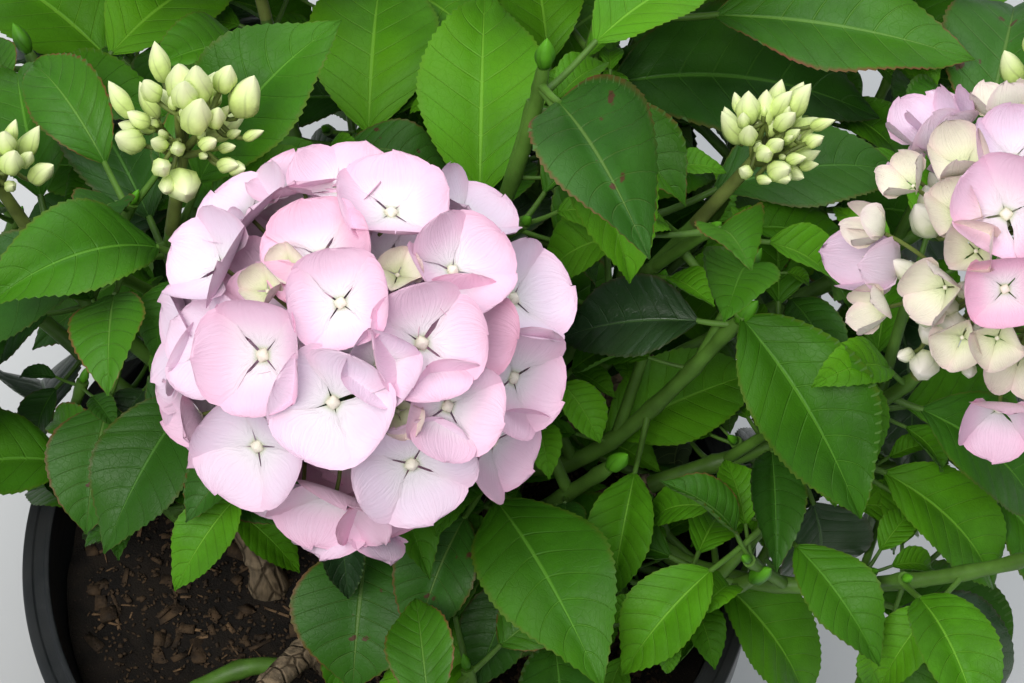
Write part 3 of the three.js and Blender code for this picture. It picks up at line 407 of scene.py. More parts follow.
def side_path(cane, up_cane, top, tip):
    """Handles from a cane's side: square out of the cane, then back from the tip, tip."""
    place, along = bend_point(cane, CANE_SHARE * up_cane), bend_tangent(cane, CANE_SHARE * up_cane)
    out = tip - place
    out = unit(out - along * out.dot(along))
    start = place + out * (cane_radius(up_cane) + GAP)
    reach = np.linalg.norm(start - tip)
    return np.array([start, start + out * SIDE_OUT * reach, tip - top * SIDE_ARRIVE * reach, tip])


def limb_pieces(path, low, high, radius_at, count):
    """Straight limbs between evenly spread points of a path, each with one radius."""
    shares = np.arange(count + 1) / count
    points = bend_point(path, low + (high - low) * shares)
    return [(points[i], points[i + 1], radius_at(shares[i])) for i in range(count)]


def twigs_of(path, turn, shares, draw):
    """Twigs rise over one leaf of each pair below the topmost, on a side dealt by the seed."""
    twigs = []
    for index, share in enumerate(shares[1:1 + MOST_TWIGS]):
        side = 0 if draw() < 0.5 else 180
        compass = turn + 90 * (index + 1) + side + within(TWIG_TURN, draw)
        reach = TWIG_LENGTH * within(TWIG_LENGTHS, draw)
        root = bend_point(path, share + TWIG_ABOVE_PAIR)
        twigs.append(SimpleNamespace(root=root, tip=root + heading(compass, TWIG_RISE) * reach,
                                     compass=compass))
    return twigs


def lay_out(name, index, path, start, head, at, lean, turn, size, thick=1.0):
    """One shoot: its pairs as shares of the path from the tip down, its twigs and its limbs."""
    draw = seeded(SHOOT_SEED * (index + 1))
    total = path_length(path)
    below = PAIR_BELOW_TIP + PAIR_SPACING * np.arange(MOST_PAIRS)
    shares = 1 - below[below < total * (1 - start) - LOWEST_PAIR] / total
    twigs = twigs_of(path, turn, shares, draw)
    top, tip, radius = shoot_top(head, at, lean, size)
    limbs = limb_pieces(path, start, 1, lambda share: stem_radius(share) * thick, STEM_RINGS * 2)
    limbs += [(twig.root, twig.tip, TWIG_RADIUS) for twig in twigs]
    centre = np.array(at, float)
    if head:
        limbs.append((tip, centre, STALK_RADIUS))
    return SimpleNamespace(
        name=name, index=index, path=path, start=start, shares=shares, twigs=twigs, top=top,
        tip=tip, centre=centre, radius=radius, head=head, turn=turn, size=size, limbs=limbs,
        draw=draw, thick=thick, leaves=[], cane_limbs=[])


def drawn_leaf(root, compass, scale, depth, draw):
    """A leaf's measures, drawn in a fixed order so that every try uses the same numbers."""
    leaf = SimpleNamespace(root=root, scale=scale, depth=depth, curl=None, finish=None)
    for name, span in POSE.items():
        setattr(leaf, name, within(span, draw))
    leaf.compass = compass + leaf.turn
    leaf.rise -= LOWER_PER_PAIR * depth
    leaf.length *= LEAF_LENGTH * scale
    leaf.petiole = PETIOLE_LENGTH * leaf.petiole * np.sqrt(scale)
    return leaf


def retried(leaf, attempt):
    """The leaf turned, lifted or lowered and shortened a little more at each further try."""
    side, lift = (1 if attempt % 2 == 0 else -1), (0, 1, -1, -1, 1)[attempt % 5]
    tried = SimpleNamespace(**vars(leaf))
    tried.compass = leaf.compass + leaf.swing + side * attempt * RETRY["turn"]
    tried.rise = leaf.rise + lift * (RETRY["rise"] + RETRY["rise_step"] * attempt)
    tried.droop = leaf.droop - lift * RETRY["droop"]
    tried.length = leaf.length * (1 - RETRY["shorter"] * attempt)
    return tried


def rib_frames(leaf, shares):
    """Rib points, left directions and normals: an arc that bends down evenly by the droop."""
    share = np.asarray(shares, float)[:, None]
    rise, bend = np.radians(leaf.rise), np.radians(leaf.droop)
    low = rise - bend * share
    ahead = heading(leaf.compass, 0.0)
    point = (leaf.root + heading(leaf.compass, leaf.rise) * leaf.petiole
             + ahead * leaf.length * (np.sin(rise) - np.sin(low)) / bend
             + UP * leaf.length * (np.cos(low) - np.cos(rise)) / bend)
    normal = UP * np.cos(low) - ahead * np.sin(low)
    left = np.cross(UP, ahead)
    roll = np.radians(leaf.roll) * np.minimum(1, 0.4 + share)
    return (point, left * np.cos(roll) + normal * np.sin(roll),
            normal * np.cos(roll) - left * np.sin(roll))


def half_width(leaf, shares):
    """Egg shape with a drawn-out tip: a bent half wave of sine, tapered by the fifth power."""
    body = np.maximum(np.sin(np.pi * np.power(shares, 0.88)), 0) ** 0.95
    return LEAF_HALF_WIDTH * leaf.width * leaf.length * body * (1 - 0.3 * np.power(shares, 5))


def margin_points(leaf, frames, across):
    """Out from the rib by a signed width, and up along the normal by the fold."""
    point, left, normal = frames
    fold, across = np.radians(leaf.fold), across[:, None]
    return point + left * across * np.cos(fold) + normal * np.abs(across) * np.sin(fold)


def sheet_points(leaf, lift, spread):
    """Ten corners that stand for a leaf: base, two rings of left, rib and right, tip, petiole."""
    point, left, normal = rib_frames(leaf, np.array([0, *BLADE_SHARES, 1, 0.9]))
    rings = []
    for ring, share in enumerate(BLADE_SHARES, 1):
        here = (point[ring:ring + 1], left[ring:ring + 1], normal[ring:ring + 1])
        width = half_width(leaf, share) + spread
        rings += [margin_points(leaf, here, np.array([side * width]))[0] + normal[ring] * lift
                  for side in (1, 0, -1)]
    tip = point[3] + normal[3] * lift + unit(point[3] - point[4]) * spread
    low = leaf.root + (point[0] - leaf.root) * 0.35 + normal[0] * lift
    return np.array([point[0] + normal[0] * lift, *rings, tip, low, low + left[0] * spread])


SHEET_FACES = np.array([[0, 2, 1], [0, 3, 2], [2, 5, 4], [2, 4, 1], [2, 3, 6], [2, 6, 5],
                        [5, 7, 4], [5, 6, 7], [8, 9, 0]])
SHEET_EDGES = np.array([[0, 1], [1, 4], [4, 7], [7, 6], [6, 3], [3, 0], [0, 2], [2, 5],
                        [5, 7], [2, 1], [2, 3], [5, 4], [5, 6], [2, 4], [2, 6], [8, 0]])


def edges_cross(edged, faced):
    """True where an edge of one sheet passes through a face of the other, by Cramer's rule."""
    p, q = (edged[..., SHEET_EDGES[:, i], None, :] for i in (0, 1))
    a, b, c = (faced[..., None, SHEET_FACES[:, i], :] for i in (0, 1, 2))
    way, side, other, offset = q - p, b - a, c - a, p - a
    normal, turned = np.cross(way, other), np.cross(offset, side)
    scale = (side * normal).sum(-1)
    whole = np.where(np.abs(scale) < 1e-9, 1, scale)
    u, v, share = ((x * y).sum(-1) / whole
                   for x, y in ((offset, normal), (way, turned), (other, turned)))
    hit = (u >= 0) & (u <= 1) & (v >= 0) & (u + v <= 1) & (share >= 0) & (share <= 1)
    return (hit & (np.abs(scale) >= 1e-9)).any()


def blade_samples(leaf):
    """Points on the petiole and over the blade, for its distance to everything else."""
    frames = rib_frames(leaf, np.array([0, *SAMPLE_SHARES]))
    rows = tuple(part[1:] for part in frames)
    width = half_width(leaf, np.minimum(SAMPLE_SHARES, 0.99))
    petiole = leaf.root + (frames[0][0] - leaf.root) * np.array([[0.55], [0.8]])
    across = [margin_points(leaf, rows, width * reach * side)
              for side in (-1, 1) for reach in (0.36, 0.7, 1)]
    return np.concatenate([petiole, rows[0], *across])


def fits(leaf, limbs, spaces, placed):
    """True where a leaf is clear of the pot, the kept spaces, all limbs and all other leaves.

    The samples are held against the balls and limbs near them; the sheet of a near leaf may
    nowhere pass through this one, nor through it when it is lifted or lowered a little.
    """
    samples = blade_samples(leaf)
    if samples[:, 1].max() > CROWN_BACK:
        return False
    radius = np.hypot(samples[:, 0], samples[:, 1])
    inside = radius < POT_LIP_RADIUS - LIP_WIDTH - POT_CLEARANCE
    floor = np.where(inside, COMPOST_LEVEL + COMPOST_BUMP, POT_HEIGHT) + POT_CLEARANCE
    if ((radius <= POT_LIP_RADIUS + POT_CLEARANCE) & (samples[:, 2] <= floor)).any():
        return False
    middle = samples.mean(0)
    spread = np.linalg.norm(samples - middle, axis=1).max()
    free = spaces.radii + SPACE_CLEARANCE
    near = np.linalg.norm(spaces.centres - middle, axis=1) <= spread + free
    away = np.linalg.norm(samples[:, None] - spaces.centres[near], axis=2)
    if (away <= free[near]).any():
        return False
    near = (np.linalg.norm(limbs.a - middle, axis=1)
            <= spread + np.sqrt(limbs.square) + limbs.radii + LEAF_CLEARANCE)
    way, offset = limbs.way[near], samples[:, None] - limbs.a[near]
    share = np.clip((offset * way).sum(2) / limbs.square[near], 0, 1)
    gap = np.linalg.norm(offset - way * share[..., None], axis=2) - limbs.radii[near]
    if (gap <= LEAF_CLEARANCE).any():
        return False
    if not placed.leaves:
        return True
    middle = rib_frames(leaf, [RIB_MIDDLE])[0][0]
    reach = LEAF_REACH * (leaf.length + np.array(placed.lengths))
    near = np.linalg.norm(np.array(placed.middles) - middle, axis=1) <= reach
    if not near.any():
        return True
    lifts = (-SHEET_CLEARANCE, 0, SHEET_CLEARANCE)
    mine = np.array([sheet_points(leaf, lift, EDGE_CLEARANCE) for lift in lifts])[:, None]
    others = np.array(placed.sheets)[near][None]
    return not (edges_cross(mine, others) or edges_cross(others, mine))


def place_leaf(drawn, part, limbs, spaces, placed):
    """Keeps the first of a leaf's tries that fits, and says whether there was one."""
    for attempt in range(LEAF_TRIES):
        leaf = retried(drawn, attempt)
        if fits(leaf, limbs, spaces, placed):
            placed.leaves.append(leaf)
            placed.middles.append(rib_frames(leaf, [RIB_MIDDLE])[0][0])
            placed.lengths.append(leaf.length)
            placed.sheets.append(sheet_points(leaf, 0, 0))
            part.leaves.append(leaf)
            return True
    return False


def kept_spaces(plan, lit):
    """Balls that no leaf enters: heads; if lit, open spaces and the light on heads and leaves."""
    heads = [part for part in plan if part.head]
    centres, radii = [part.centre for part in heads], [part.radius for part in heads]
    if lit:
        centres += [part.centre + LIGHT_WAY * LIT_REACH * part.radius for part in heads]
        radii += radii
        centres += [np.array(centre, float) for centre, _ in OPEN_SPACES]
        radii += [radius for _, radius in OPEN_SPACES]
        for leaf in (leaf for part in plan for leaf in part.leaves):
            reaches = FRONT_LIT_REACHES if leaf.root[1] < FRONT_LEAVES else SET_LIT_REACHES
            for point in rib_frames(leaf, SET_LIT_SHARES)[0]:
                centres += [point + LIGHT_WAY * reach for reach in reaches]
                radii += [leaf.length * SET_LIT_RADIUS] * len(reaches)
    return SimpleNamespace(centres=np.array(centres), radii=np.array(radii))


def set_leaves(plan):
    """The leaves of the table, each rooted on its shoot's stem or twig."""
    parts = {part.name: part for part in plan}
    measures = ("compass", "rise", "droop", "length", "petiole", "width", "fold", "roll")
    for name, share, finish, *row in SET_LEAVES:
        row += [0] * (len(measures) + 2 - len(row))
        part = parts[name]
        root = bend_point(part.path, share)
        if share > 1:
            twig = part.twigs[int(share) - 1]
            root = twig.root + (twig.tip - twig.root) * (share % 1)
        leaf = SimpleNamespace(root=root, curl=tuple(row[-2:]), finish=finish, depth=1, swing=0,
                               **dict(zip(measures, row)))
        leaf.scale = leaf.length / LEAF_LENGTH
        yield part, leaf


def leaf_places(plan):
    """Where leaves are tried, in order: pairs from the top down, then those on the twigs."""
    for depth in range(max(len(part.shares) for part in plan)):
        scale = TOP_PAIR_SCALE if depth == 0 else LOWER_PAIR_SCALE - SCALE_PER_PAIR * depth
        for part in plan:
            if depth < len(part.shares):
                root = bend_point(part.path, part.shares[depth])
                for side in (0, 180):
                    yield part, root, part.turn + 90 * depth + side, scale, depth
    for part in plan:
        for twig in part.twigs:
            root = twig.root + (twig.tip - twig.root) * TWIG_LEAF_SHARE
            for turn, scale in TWIG_LEAVES:
                yield part, root, twig.compass + turn, scale, 0


def on_twig(leaf, twig):
    """True for a leaf rooted within a millimetre of a twig's line and off the stem."""
    way, offset = twig.tip - twig.root, leaf.root - twig.root
    share = offset.dot(way) / way.dot(way)
    return share > 0.1 and np.linalg.norm(offset - way * share) < 1


def grow_leaves(plan):
    """The set leaves first, then the rule's, then smaller ones wherever those found no room."""
    limbs = [limb for part in plan for limb in part.limbs + part.cane_limbs]
    a, b = (np.array([limb[i] for limb in limbs]) for i in (0, 1))
    way = b - a
    ends = SimpleNamespace(a=a, way=way, square=(way * way).sum(1),
                           radii=np.array([limb[2] for limb in limbs]))
    placed = SimpleNamespace(leaves=[], middles=[], lengths=[], sheets=[])
    spaces = kept_spaces(plan, lit=False)
    for part, leaf in set_leaves(plan):
        place_leaf(leaf, part, ends, spaces, placed)
    spaces = kept_spaces(plan, lit=True)
    empty = []
    for part, root, compass, scale, depth in leaf_places(plan):
        leaf = drawn_leaf(root, compass, scale, depth, part.draw)
        if not place_leaf(leaf, part, ends, spaces, placed):
            empty.append((part, root, compass, scale, depth))
    full = len(placed.leaves)
    for index, (part, root, compass, scale, depth) in enumerate(empty):
        draw = seeded(SMALL_LEAF_SEED * (index + 1))
        for smaller in EXTRA_LEAF_SCALES:
            leaf = drawn_leaf(root, compass, scale * smaller, depth, draw)
            if place_leaf(leaf, part, ends, spaces, placed):
                break
    for leaf in placed.leaves[full:]:
        leaf.depth = 0
    for part in plan:
        part.twigs = [twig for twig in part.twigs
                      if any(on_twig(leaf, twig) for leaf in part.leaves)]


@functools.lru_cache(maxsize=1)
def grown_plant():
    """Every shoot of the plant with its leaves, worked out once."""
    plan, canes = [], {}
    for index, (name, foot, ring, head, at, lean, turn, size) in enumerate(MAIN_SHOOTS):
        top, tip, _ = shoot_top(head, at, lean, size)
        path = canes[name] = main_path(foot, ring, top, tip)
        step = np.linalg.norm(bend_point(path, CANE_SHARE + SMALL_SHARE)
                              - bend_point(path, CANE_SHARE))
        start = CANE_SHARE + GAP * SMALL_SHARE / step
        part = lay_out(name, index, path, start, head, at, lean, turn, size)
        part.cane_limbs = limb_pieces(path, 0, CANE_SHARE, cane_radius, 6)
        plan.append(part)
    for index, (name, cane, up_cane, head, at, lean, turn) in enumerate(
            SIDE_SHOOTS + FINER_SHOOTS, len(plan)):
        top, tip, _ = shoot_top(head, at, lean, 1)
        path = side_path(canes[cane], up_cane, top, tip)
        thick = 1.0 if index < len(MAIN_SHOOTS + SIDE_SHOOTS) else FINER_STEM
        plan.append(lay_out(name, index, path, 0, head, at, lean, turn, 1, thick))
    grow_leaves(plan)
    return plan


# Mesh tools

def circle(sides):
    """Angles evenly round a circle."""
    return 2 * np.pi * np.arange(sides) / sides


def bow(start, middle, end, t):
    """Quadratic Bezier curve: three handles weighed by k^2, 2kt and t^2, where k is 1 - t."""
    return (1 - t)**2 * start + 2 * (1 - t) * t * middle + t**2 * end


def grid_faces(rows, columns, around=False):
    """Corner numbers of the four-sided faces of a grid, closed round its columns if asked."""
    row, column = np.meshgrid(np.arange(rows - 1), np.arange(columns - (not around)),
                              indexing="ij")
    here, beside = row * columns + column, row * columns + (column + 1) % columns
    return np.stack([here, beside, beside + columns, here + columns], -1).reshape(-1, 4)


class Gathered:
    """Points, faces and places on the surface of many shapes that become one mesh."""

    def __init__(self):
        self.points, self.faces, self.places, self.count = [], [], [], 0

    def add(self, points, faces, places):
        """Adds n points, faces as corner numbers, and a place (u, v) for each face corner."""
        self.points.append(points)
        self.faces.append(faces + self.count)
        self.places.append(places)
        self.count += len(points)

    def add_grids(self, grids, around=False, flip=False):
        """Adds grids of points (n, rows, columns, 3); a place runs 0 to 1 across and along."""
        number, rows, columns = grids.shape[:3]
        faces = grid_faces(rows, columns, around)
        high = columns if around else columns - 1
        row, column = np.divmod(faces, columns)
        if around:
            column = np.where((column == 0) & (np.arange(4) % 3 != 0), high, column)
        places = np.stack([column / high, row / (rows - 1)], -1)
        if flip:
            faces, places = faces[:, ::-1], places[:, ::-1]
        first = (np.arange(number) * rows * columns)[:, None, None]
        self.add(grids.reshape(-1, 3), (faces + first).reshape(-1, 4),
                 np.tile(places, (number, 1, 1)))

    def add_caps(self, rings, end):
        """Closes open rings (n, sides, 3) with a fan round their middle, facing along the end."""
        number, sides = rings.shape[:2]
        poles = rings.mean(1, keepdims=True)
        side = np.arange(sides)
        fan = np.stack([np.full(sides, sides), (side + 1) % sides, side], -1)
        faces = fan[:, ::-1] if end else fan
        first = (np.arange(number) * (sides + 1))[:, None, None]
        self.add(np.concatenate([rings, poles], 1).reshape(-1, 3),
                 (faces + first).reshape(-1, 3),
                 np.full((number * sides, 3, 2), 1.0 if end else 0.0))

    def add_closed(self, grids, flip=False):
        """Adds grids that are closed round their columns, with a cap on both ends of each."""
        self.add_grids(grids, around=True, flip=flip)
        self.add_caps(grids[:, 0], end=flip)
        self.add_caps(grids[:, -1], end=not flip)

    def mesh(self, name, sharp_margin=None):
        """One smooth-shaded mesh in metres, with the places as its own map."""
        points = np.concatenate(self.points) * M_PER_MM
        corners = np.concatenate([face.ravel() for face in self.faces])
        counts = np.concatenate([np.full(len(face), face.shape[1]) for face in self.faces])
        made = bpy.data.meshes.new(name)
        made.vertices.add(len(points))
        made.vertices.foreach_set("co", points.ravel())
        made.loops.add(len(corners))
        made.loops.foreach_set("vertex_index", corners.astype(np.int32))
        made.polygons.add(len(counts))
        made.polygons.foreach_set("loop_start", (np.cumsum(counts) - counts).astype(np.int32))
        places = np.concatenate([place.reshape(-1, 2) for place in self.places])
        made.uv_layers.new(name="OFBake").data.foreach_set("uv", places.ravel())
        made.update(calc_edges=True)
        made.shade_smooth()
        if sharp_margin is not None:
            ends = np.empty(len(made.edges) * 2, np.int32)
            made.edges.foreach_get("vertices", ends)
            sharp = sharp_margin[ends.reshape(-1, 2)].all(1)
            made.attributes.new("sharp_edge", "BOOLEAN", "EDGE").data.foreach_set("value", sharp)
        return made


def add_piece(name, gathered, material, nodes, sharp_margin=None):
    """Puts gathered shapes into the scene as a piece of the plant that stands for some solids."""
    mesh = gathered.mesh(name, sharp_margin)
    piece = bpy.data.objects.new(name, mesh)
    mesh.materials.append(material)
    bpy.context.scene.collection.objects.link(piece)
    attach(piece, "root")
    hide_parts(*nodes)


def node_names(start):
    return [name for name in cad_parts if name.startswith(start)]


def square_ways(way, guide):
    """Two directions square to each given one: the first lies as near to the guide as it can."""
    first = unit(guide - way * (guide * way).sum(-1, keepdims=True))
    return first, np.cross(way, first)


def side_ways(way):
    """Two directions square to each given one, with upright as the guide unless it is too near."""
    return square_ways(way, np.where(np.abs(way[..., 2:]) < 0.9, UP, EAST))


def tube_grids(paths, radii, sides):
    """Rings of points round paths (n, rings, 3), square to them, turned alike all the way."""
    along = unit(np.gradient(paths, axis=1))
    chord = paths[:, -1] - paths[:, 0]
    guide = np.cross(chord, UP)
    upright = (np.linalg.norm(guide, axis=1, keepdims=True)
               < 1e-3 * np.linalg.norm(chord, axis=1)[:, None])
    first, second = square_ways(along, np.where(upright, EAST, guide)[:, None])
    angle = circle(sides)[:, None]
    ring = first[:, :, None] * np.cos(angle) + second[:, :, None] * np.sin(angle)
    if np.ndim(radii) == 2:
        radii = radii[..., None]
    return paths[:, :, None] + ring * radii[..., None]


def add_tubes(gathered, paths, radii, sides):
    """Closed limbs along paths; radii are given for each ring, or for each point of it."""
    gathered.add_closed(tube_grids(paths, radii, sides))


def add_spindles(gathered, base, way, reach, radius, around=8, rings=9, seam=0.08):
    """Pointed buds: radius goes with a bent half wave of sine along the axis, with four seams."""
    along = np.linspace(0, 1, rings)
    profile = np.sin(np.pi * along ** 0.8) ** 0.75 * (1 - 0.25 * along ** 3) + 0.012
    angle = circle(around)
    first, second = (side[:, None, None] for side in side_ways(way))
    ring = first * np.cos(angle)[:, None] + second * np.sin(angle)[:, None]
    folds = 1 - seam * np.cos(4 * angle + 5 * along[:, None])
    swell = radius[:, None, None] * profile[:, None] * folds
    centre = base[:, None] + way[:, None] * (reach[:, None] * along)[..., None]
    gathered.add_closed(centre[:, :, None] + ring * swell[..., None])


def waves(places, seed, size, octaves=4):
    """Smooth noise from -1 to 1: sums of sine waves in random directions, halving in size."""
    dice = np.random.default_rng(seed)
    total = np.zeros(places.shape[:-1])
    for octave in range(octaves):
        for _ in range(3):
            way = unit(dice.normal(size=places.shape[-1])) * 2 * np.pi / size * 2**octave
            total += np.sin(places @ way + dice.uniform(0, 6.28)) / 3 / 1.7**octave
    return total / 1.6


# Material tools

class Nodes:
    """Adds shader nodes to a tree; an input may be a number, a colour or another node's output."""

    def __init__(self, tree):
        self.tree = tree

    def add(self, kind, inputs=(), output=0, **settings):
        node = self.tree.nodes.new(kind)
        for key, value in settings.items():
            setattr(node, key, value)
        for key, value in dict(inputs).items():
            self.set(node.inputs[key], value)
        return node.outputs[output] if output is not None else node

    def set(self, socket, value):
        if isinstance(value, bpy.types.NodeSocket):
            self.tree.links.new(value, socket)
        else:
            socket.default_value = value

    def math(self, operation, a, b=0.0):
        return self.add("ShaderNodeMath", {0: a, 1: b}, operation=operation)

    def plus(self, a, b):
        return self.math("ADD", a, b)

    def minus(self, a, b):
        return self.math("SUBTRACT", a, b)

    def times(self, a, b):
        return self.math("MULTIPLY", a, b)

    def mix(self, share, a, b):
        """Colour b laid over colour a by a share."""
        low, high = (value if isinstance(value, bpy.types.NodeSocket) else (*value, 1)
                     for value in (a, b))
        return self.add("ShaderNodeMix", {0: share, 6: low, 7: high}, 2, data_type="RGBA")

    def ramp(self, value, low, high, low_out=0.0, high_out=1.0):
        """Smooth step of a value from one range to another."""
        return self.add("ShaderNodeMapRange", {0: value, 1: low, 2: high, 3: low_out, 4: high_out},
                        interpolation_type="SMOOTHSTEP")

    def noise(self, where, scale, detail=3.0, roughness=0.55, output=0):
        return self.add("ShaderNodeTexNoise", {"Vector": where, "Scale": scale, "Detail": detail,
                                               "Roughness": roughness}, output)

    def cells(self, where, scale, feature="DISTANCE_TO_EDGE"):
        """Distance to the edge, or to the middle, of the nearest cell of a random mosaic."""
        return self.add("ShaderNodeTexVoronoi", {"Vector": where, "Scale": scale},
                        feature=feature)

    def place(self):
        """Object coordinates."""
        return self.add("ShaderNodeTexCoord", output=3)

    def own_map(self):
        """The place on the piece's own map, and its parts across and along."""
        place = self.add("ShaderNodeUVMap", uv_map="OFBake")
        return place, *self.split(place)[:2]

    def split(self, vector):
        return self.add("ShaderNodeSeparateXYZ", {0: vector}, None).outputs

    def stretched(self, vector, scales):
        return self.add("ShaderNodeMapping", {"Vector": vector, "Scale": scales})


def new_group(name, inputs, outputs):
    """Makes a shader group with number inputs and outputs, and hands over its nodes."""
    tree = bpy.data.node_groups.new(name, "ShaderNodeTree")
    for title, default in inputs:
        socket = tree.interface.new_socket(name=title, in_out="INPUT",
                                           socket_type="NodeSocketFloat")
        socket.default_value = default
    for title in outputs:
        tree.interface.new_socket(name=title, in_out="OUTPUT", socket_type="NodeSocketFloat")
    nodes = Nodes(tree)
    source = nodes.add("NodeGroupInput", output=None)
    sink = nodes.add("NodeGroupOutput", output=None)
    return tree, nodes, source.outputs, sink.inputs


def use_group(nodes, tree, inputs=()):
    """Places a group in a material with its own values."""
    return nodes.add("ShaderNodeGroup", inputs, None, node_tree=tree).outputs


@functools.lru_cache(maxsize=1)
def leaf_pattern():
    """Masks of a leaf blade from its map: under side, midrib, side veins, fine net, margin."""
    tree, n, given, put = new_group(
        "leaf_pattern", [("Side Veins", 7.0), ("Vein Width", 0.036), ("Net Scale", 26.0)],
        ["Under", "Midrib", "Veins", "Net", "Margin", "Blotch", "Height"])
    _, side, share = n.own_map()
    under = n.math("GREATER_THAN", side, 0.5)
    off_rib = n.math("ABSOLUTE", n.minus(n.minus(side, n.times(under, 0.5)), MAP_MIDDLE))
    across = n.times(off_rib, 1 / MAP_HALF)
    along = n.times(n.minus(share, MAP_FOOT), 1 / MAP_LENGTH)
    sweep = n.times(n.math("POWER", across, VEIN_BEND),
                    n.minus(VEIN_SWEEP, n.times(along, VEIN_STRAIGHTENS)))
    turn = n.times(n.minus(along, sweep), n.times(given["Side Veins"], VEIN_RATE))
    off = n.math("ABSOLUTE", n.minus(n.math("FRACT", n.plus(turn, VEIN_START)), 0.5))
    thin = n.times(given["Vein Width"], n.ramp(across, 0.1, 1.0, 1.0, 0.25))
    veins = n.times(n.ramp(off, n.times(thin, 1.5), n.times(thin, 0.3)),
                    n.ramp(across, 0.985, 0.9))
    midrib = n.ramp(across, n.ramp(along, 0.0, 1.0, 0.055, 0.022),
                    n.ramp(along, 0.0, 1.0, 0.018, 0.006))
    narrowed = n.add("ShaderNodeCombineXYZ", {0: n.times(side, 1.1), 1: share})
    wobble = n.noise(narrowed, 14.0, 2.0, output=1)
    bent = n.add("ShaderNodeVectorMath", {0: narrowed, 1: n.add(
        "ShaderNodeVectorMath", {0: wobble, "Scale": 0.02}, operation="SCALE")}, operation="ADD")
    broad = n.ramp(n.cells(bent, given["Net Scale"]), 0.10, 0.0)
    small = n.ramp(n.cells(bent, n.times(given["Net Scale"], 2.6)), 0.14, 0.0)
    net = n.plus(n.times(broad, 0.65), n.times(small, 0.35))
    quilt = n.times(n.ramp(off, 0.0, 0.34), n.ramp(across, 0.02, 0.2))
    height = n.minus(n.times(quilt, 0.5), n.times(net, 0.2))
    height = n.minus(height, n.times(n.math("MAXIMUM", veins, midrib), 0.8))
    height = n.times(height, n.minus(1.0, n.times(under, 1.7)))
    link_outputs(tree, put, {
        "Under": under, "Midrib": midrib, "Veins": veins, "Net": net, "Height": height,
        "Margin": n.ramp(across, 0.9, 0.995), "Blotch": n.noise(narrowed, 5.0, 4.0, 0.6)})
    return tree


@functools.lru_cache(maxsize=1)
def speckle():
    """Masks on Object coordinates: broad mottling, small specks and a fine grain height."""
    tree, n, given, put = new_group(
        "speckle", [("Mottle Scale", 60.0), ("Speck Scale", 400.0), ("Speck Share", 0.2)],
        ["Mottle", "Specks", "Height"])
    place, share = n.place(), given["Speck Share"]
    specks = n.cells(place, given["Speck Scale"], "F1")
    link_outputs(tree, put, {
        "Mottle": n.ramp(n.noise(place, given["Mottle Scale"], 4.0), 0.3, 0.7),
        "Specks": n.ramp(specks, share, n.times(share, 0.5)),
        "Height": n.noise(place, n.times(given["Speck Scale"], 2.0), 5.0, 0.65)})
    return tree


def link_outputs(tree, put, values):
    """Links values to a group's outputs by their titles."""
    for title, value in values.items():
        tree.links.new(value, put[title])


def speckled(n, scales):
    """The speckle masks with their mottle scale, speck scale and speck share."""
    titles = ("Mottle Scale", "Speck Scale", "Speck Share")
    return use_group(n, speckle(), dict(zip(titles, scales)))


def new_material(name, gloss):
    """An empty material with a Principled shader, whose specular level is set on its own socket."""
    material = bpy.data.materials.new(name)
    material.use_nodes = True
    shader = material.node_tree.nodes["Principled BSDF"]
    shader.inputs["Specular IOR Level"].default_value = gloss
    return material, Nodes(material.node_tree), shader


def finish_shader(n, shader, tone, rough, height, relief):
    """Feeds a shader its colour, roughness, and a height in parts of a relief in millimetres."""
    n.set(shader.inputs["Base Color"], tone)
    n.set(shader.inputs["Roughness"], rough)
    n.set(shader.inputs["Normal"], n.add("ShaderNodeBump", {
        "Height": height, "Distance": relief * M_PER_MM, "Strength": 1.0}))


def scaled(base, factor):
    return tuple(min(1.0, channel * factor) for channel in base)


def leaf_material(finish, base, light, gloss, roughness, edge, brown):
    """Leaf green in broad patches of random tone and painted sheen, with pale veins, painted shade
    in the hollows of the fine net, a tinted margin, brown spots, a dull under side.
    """
    material, n, shader = new_material(f"leaf_{finish}", gloss)
    masks = use_group(n, leaf_pattern(), {"Side Veins": float(sizes().side_veins)})
    veins, net, under, blotch = (masks[name] for name in ("Veins", "Net", "Under", "Blotch"))
    # Broad patches between a darker and a lighter, warmer green: random tone from leaf to leaf, and
    # painted sheen
    lighter_tone_and_sheen = tuple(channel * gain for channel, gain in zip(base, (1.4, 1.2, 1.0)))
    green = n.mix(n.ramp(n.noise(n.place(), 13.0, 2.0), 0.36, 0.66), scaled(base, 0.74), lighter_tone_and_sheen)
    green = n.mix(n.times(n.ramp(blotch, 0.35, 0.7), 0.5), green, scaled(base, 1.25))
    # Painted shade: darker along the fine net, where the blade dips into hollows
    green = n.mix(n.times(net, 0.2), green, scaled(base, 0.68))
    green = n.mix(n.times(veins, 0.34), green, light)
    green = n.mix(n.times(masks["Midrib"], 0.7), green, scaled(light, 1.2))
    margin = n.times(masks["Margin"], n.ramp(blotch, 0.3, 0.6))
    green = n.mix(n.times(margin, edge), green, (0.16, 0.045, 0.02))
    if brown:
        spots = n.ramp(blotch, 0.72 - brown, 0.75 - brown)
        dead = n.times(spots, n.minus(1.0, n.times(veins, 0.5)))
        green = n.mix(dead, green, (0.075, 0.035, 0.014))
    dull = tuple(0.6 * channel + more for channel, more in zip(base, (0.055, 0.085, 0.03)))
    pale = n.mix(n.math("MAXIMUM", veins, masks["Midrib"]), dull, (0.20, 0.30, 0.10))
    rough = n.plus(n.plus(roughness, n.times(net, 0.1)), n.times(under, 0.22))
    finish_shader(n, shader, n.mix(under, green, pale), rough, masks["Height"], 0.3)
    return material


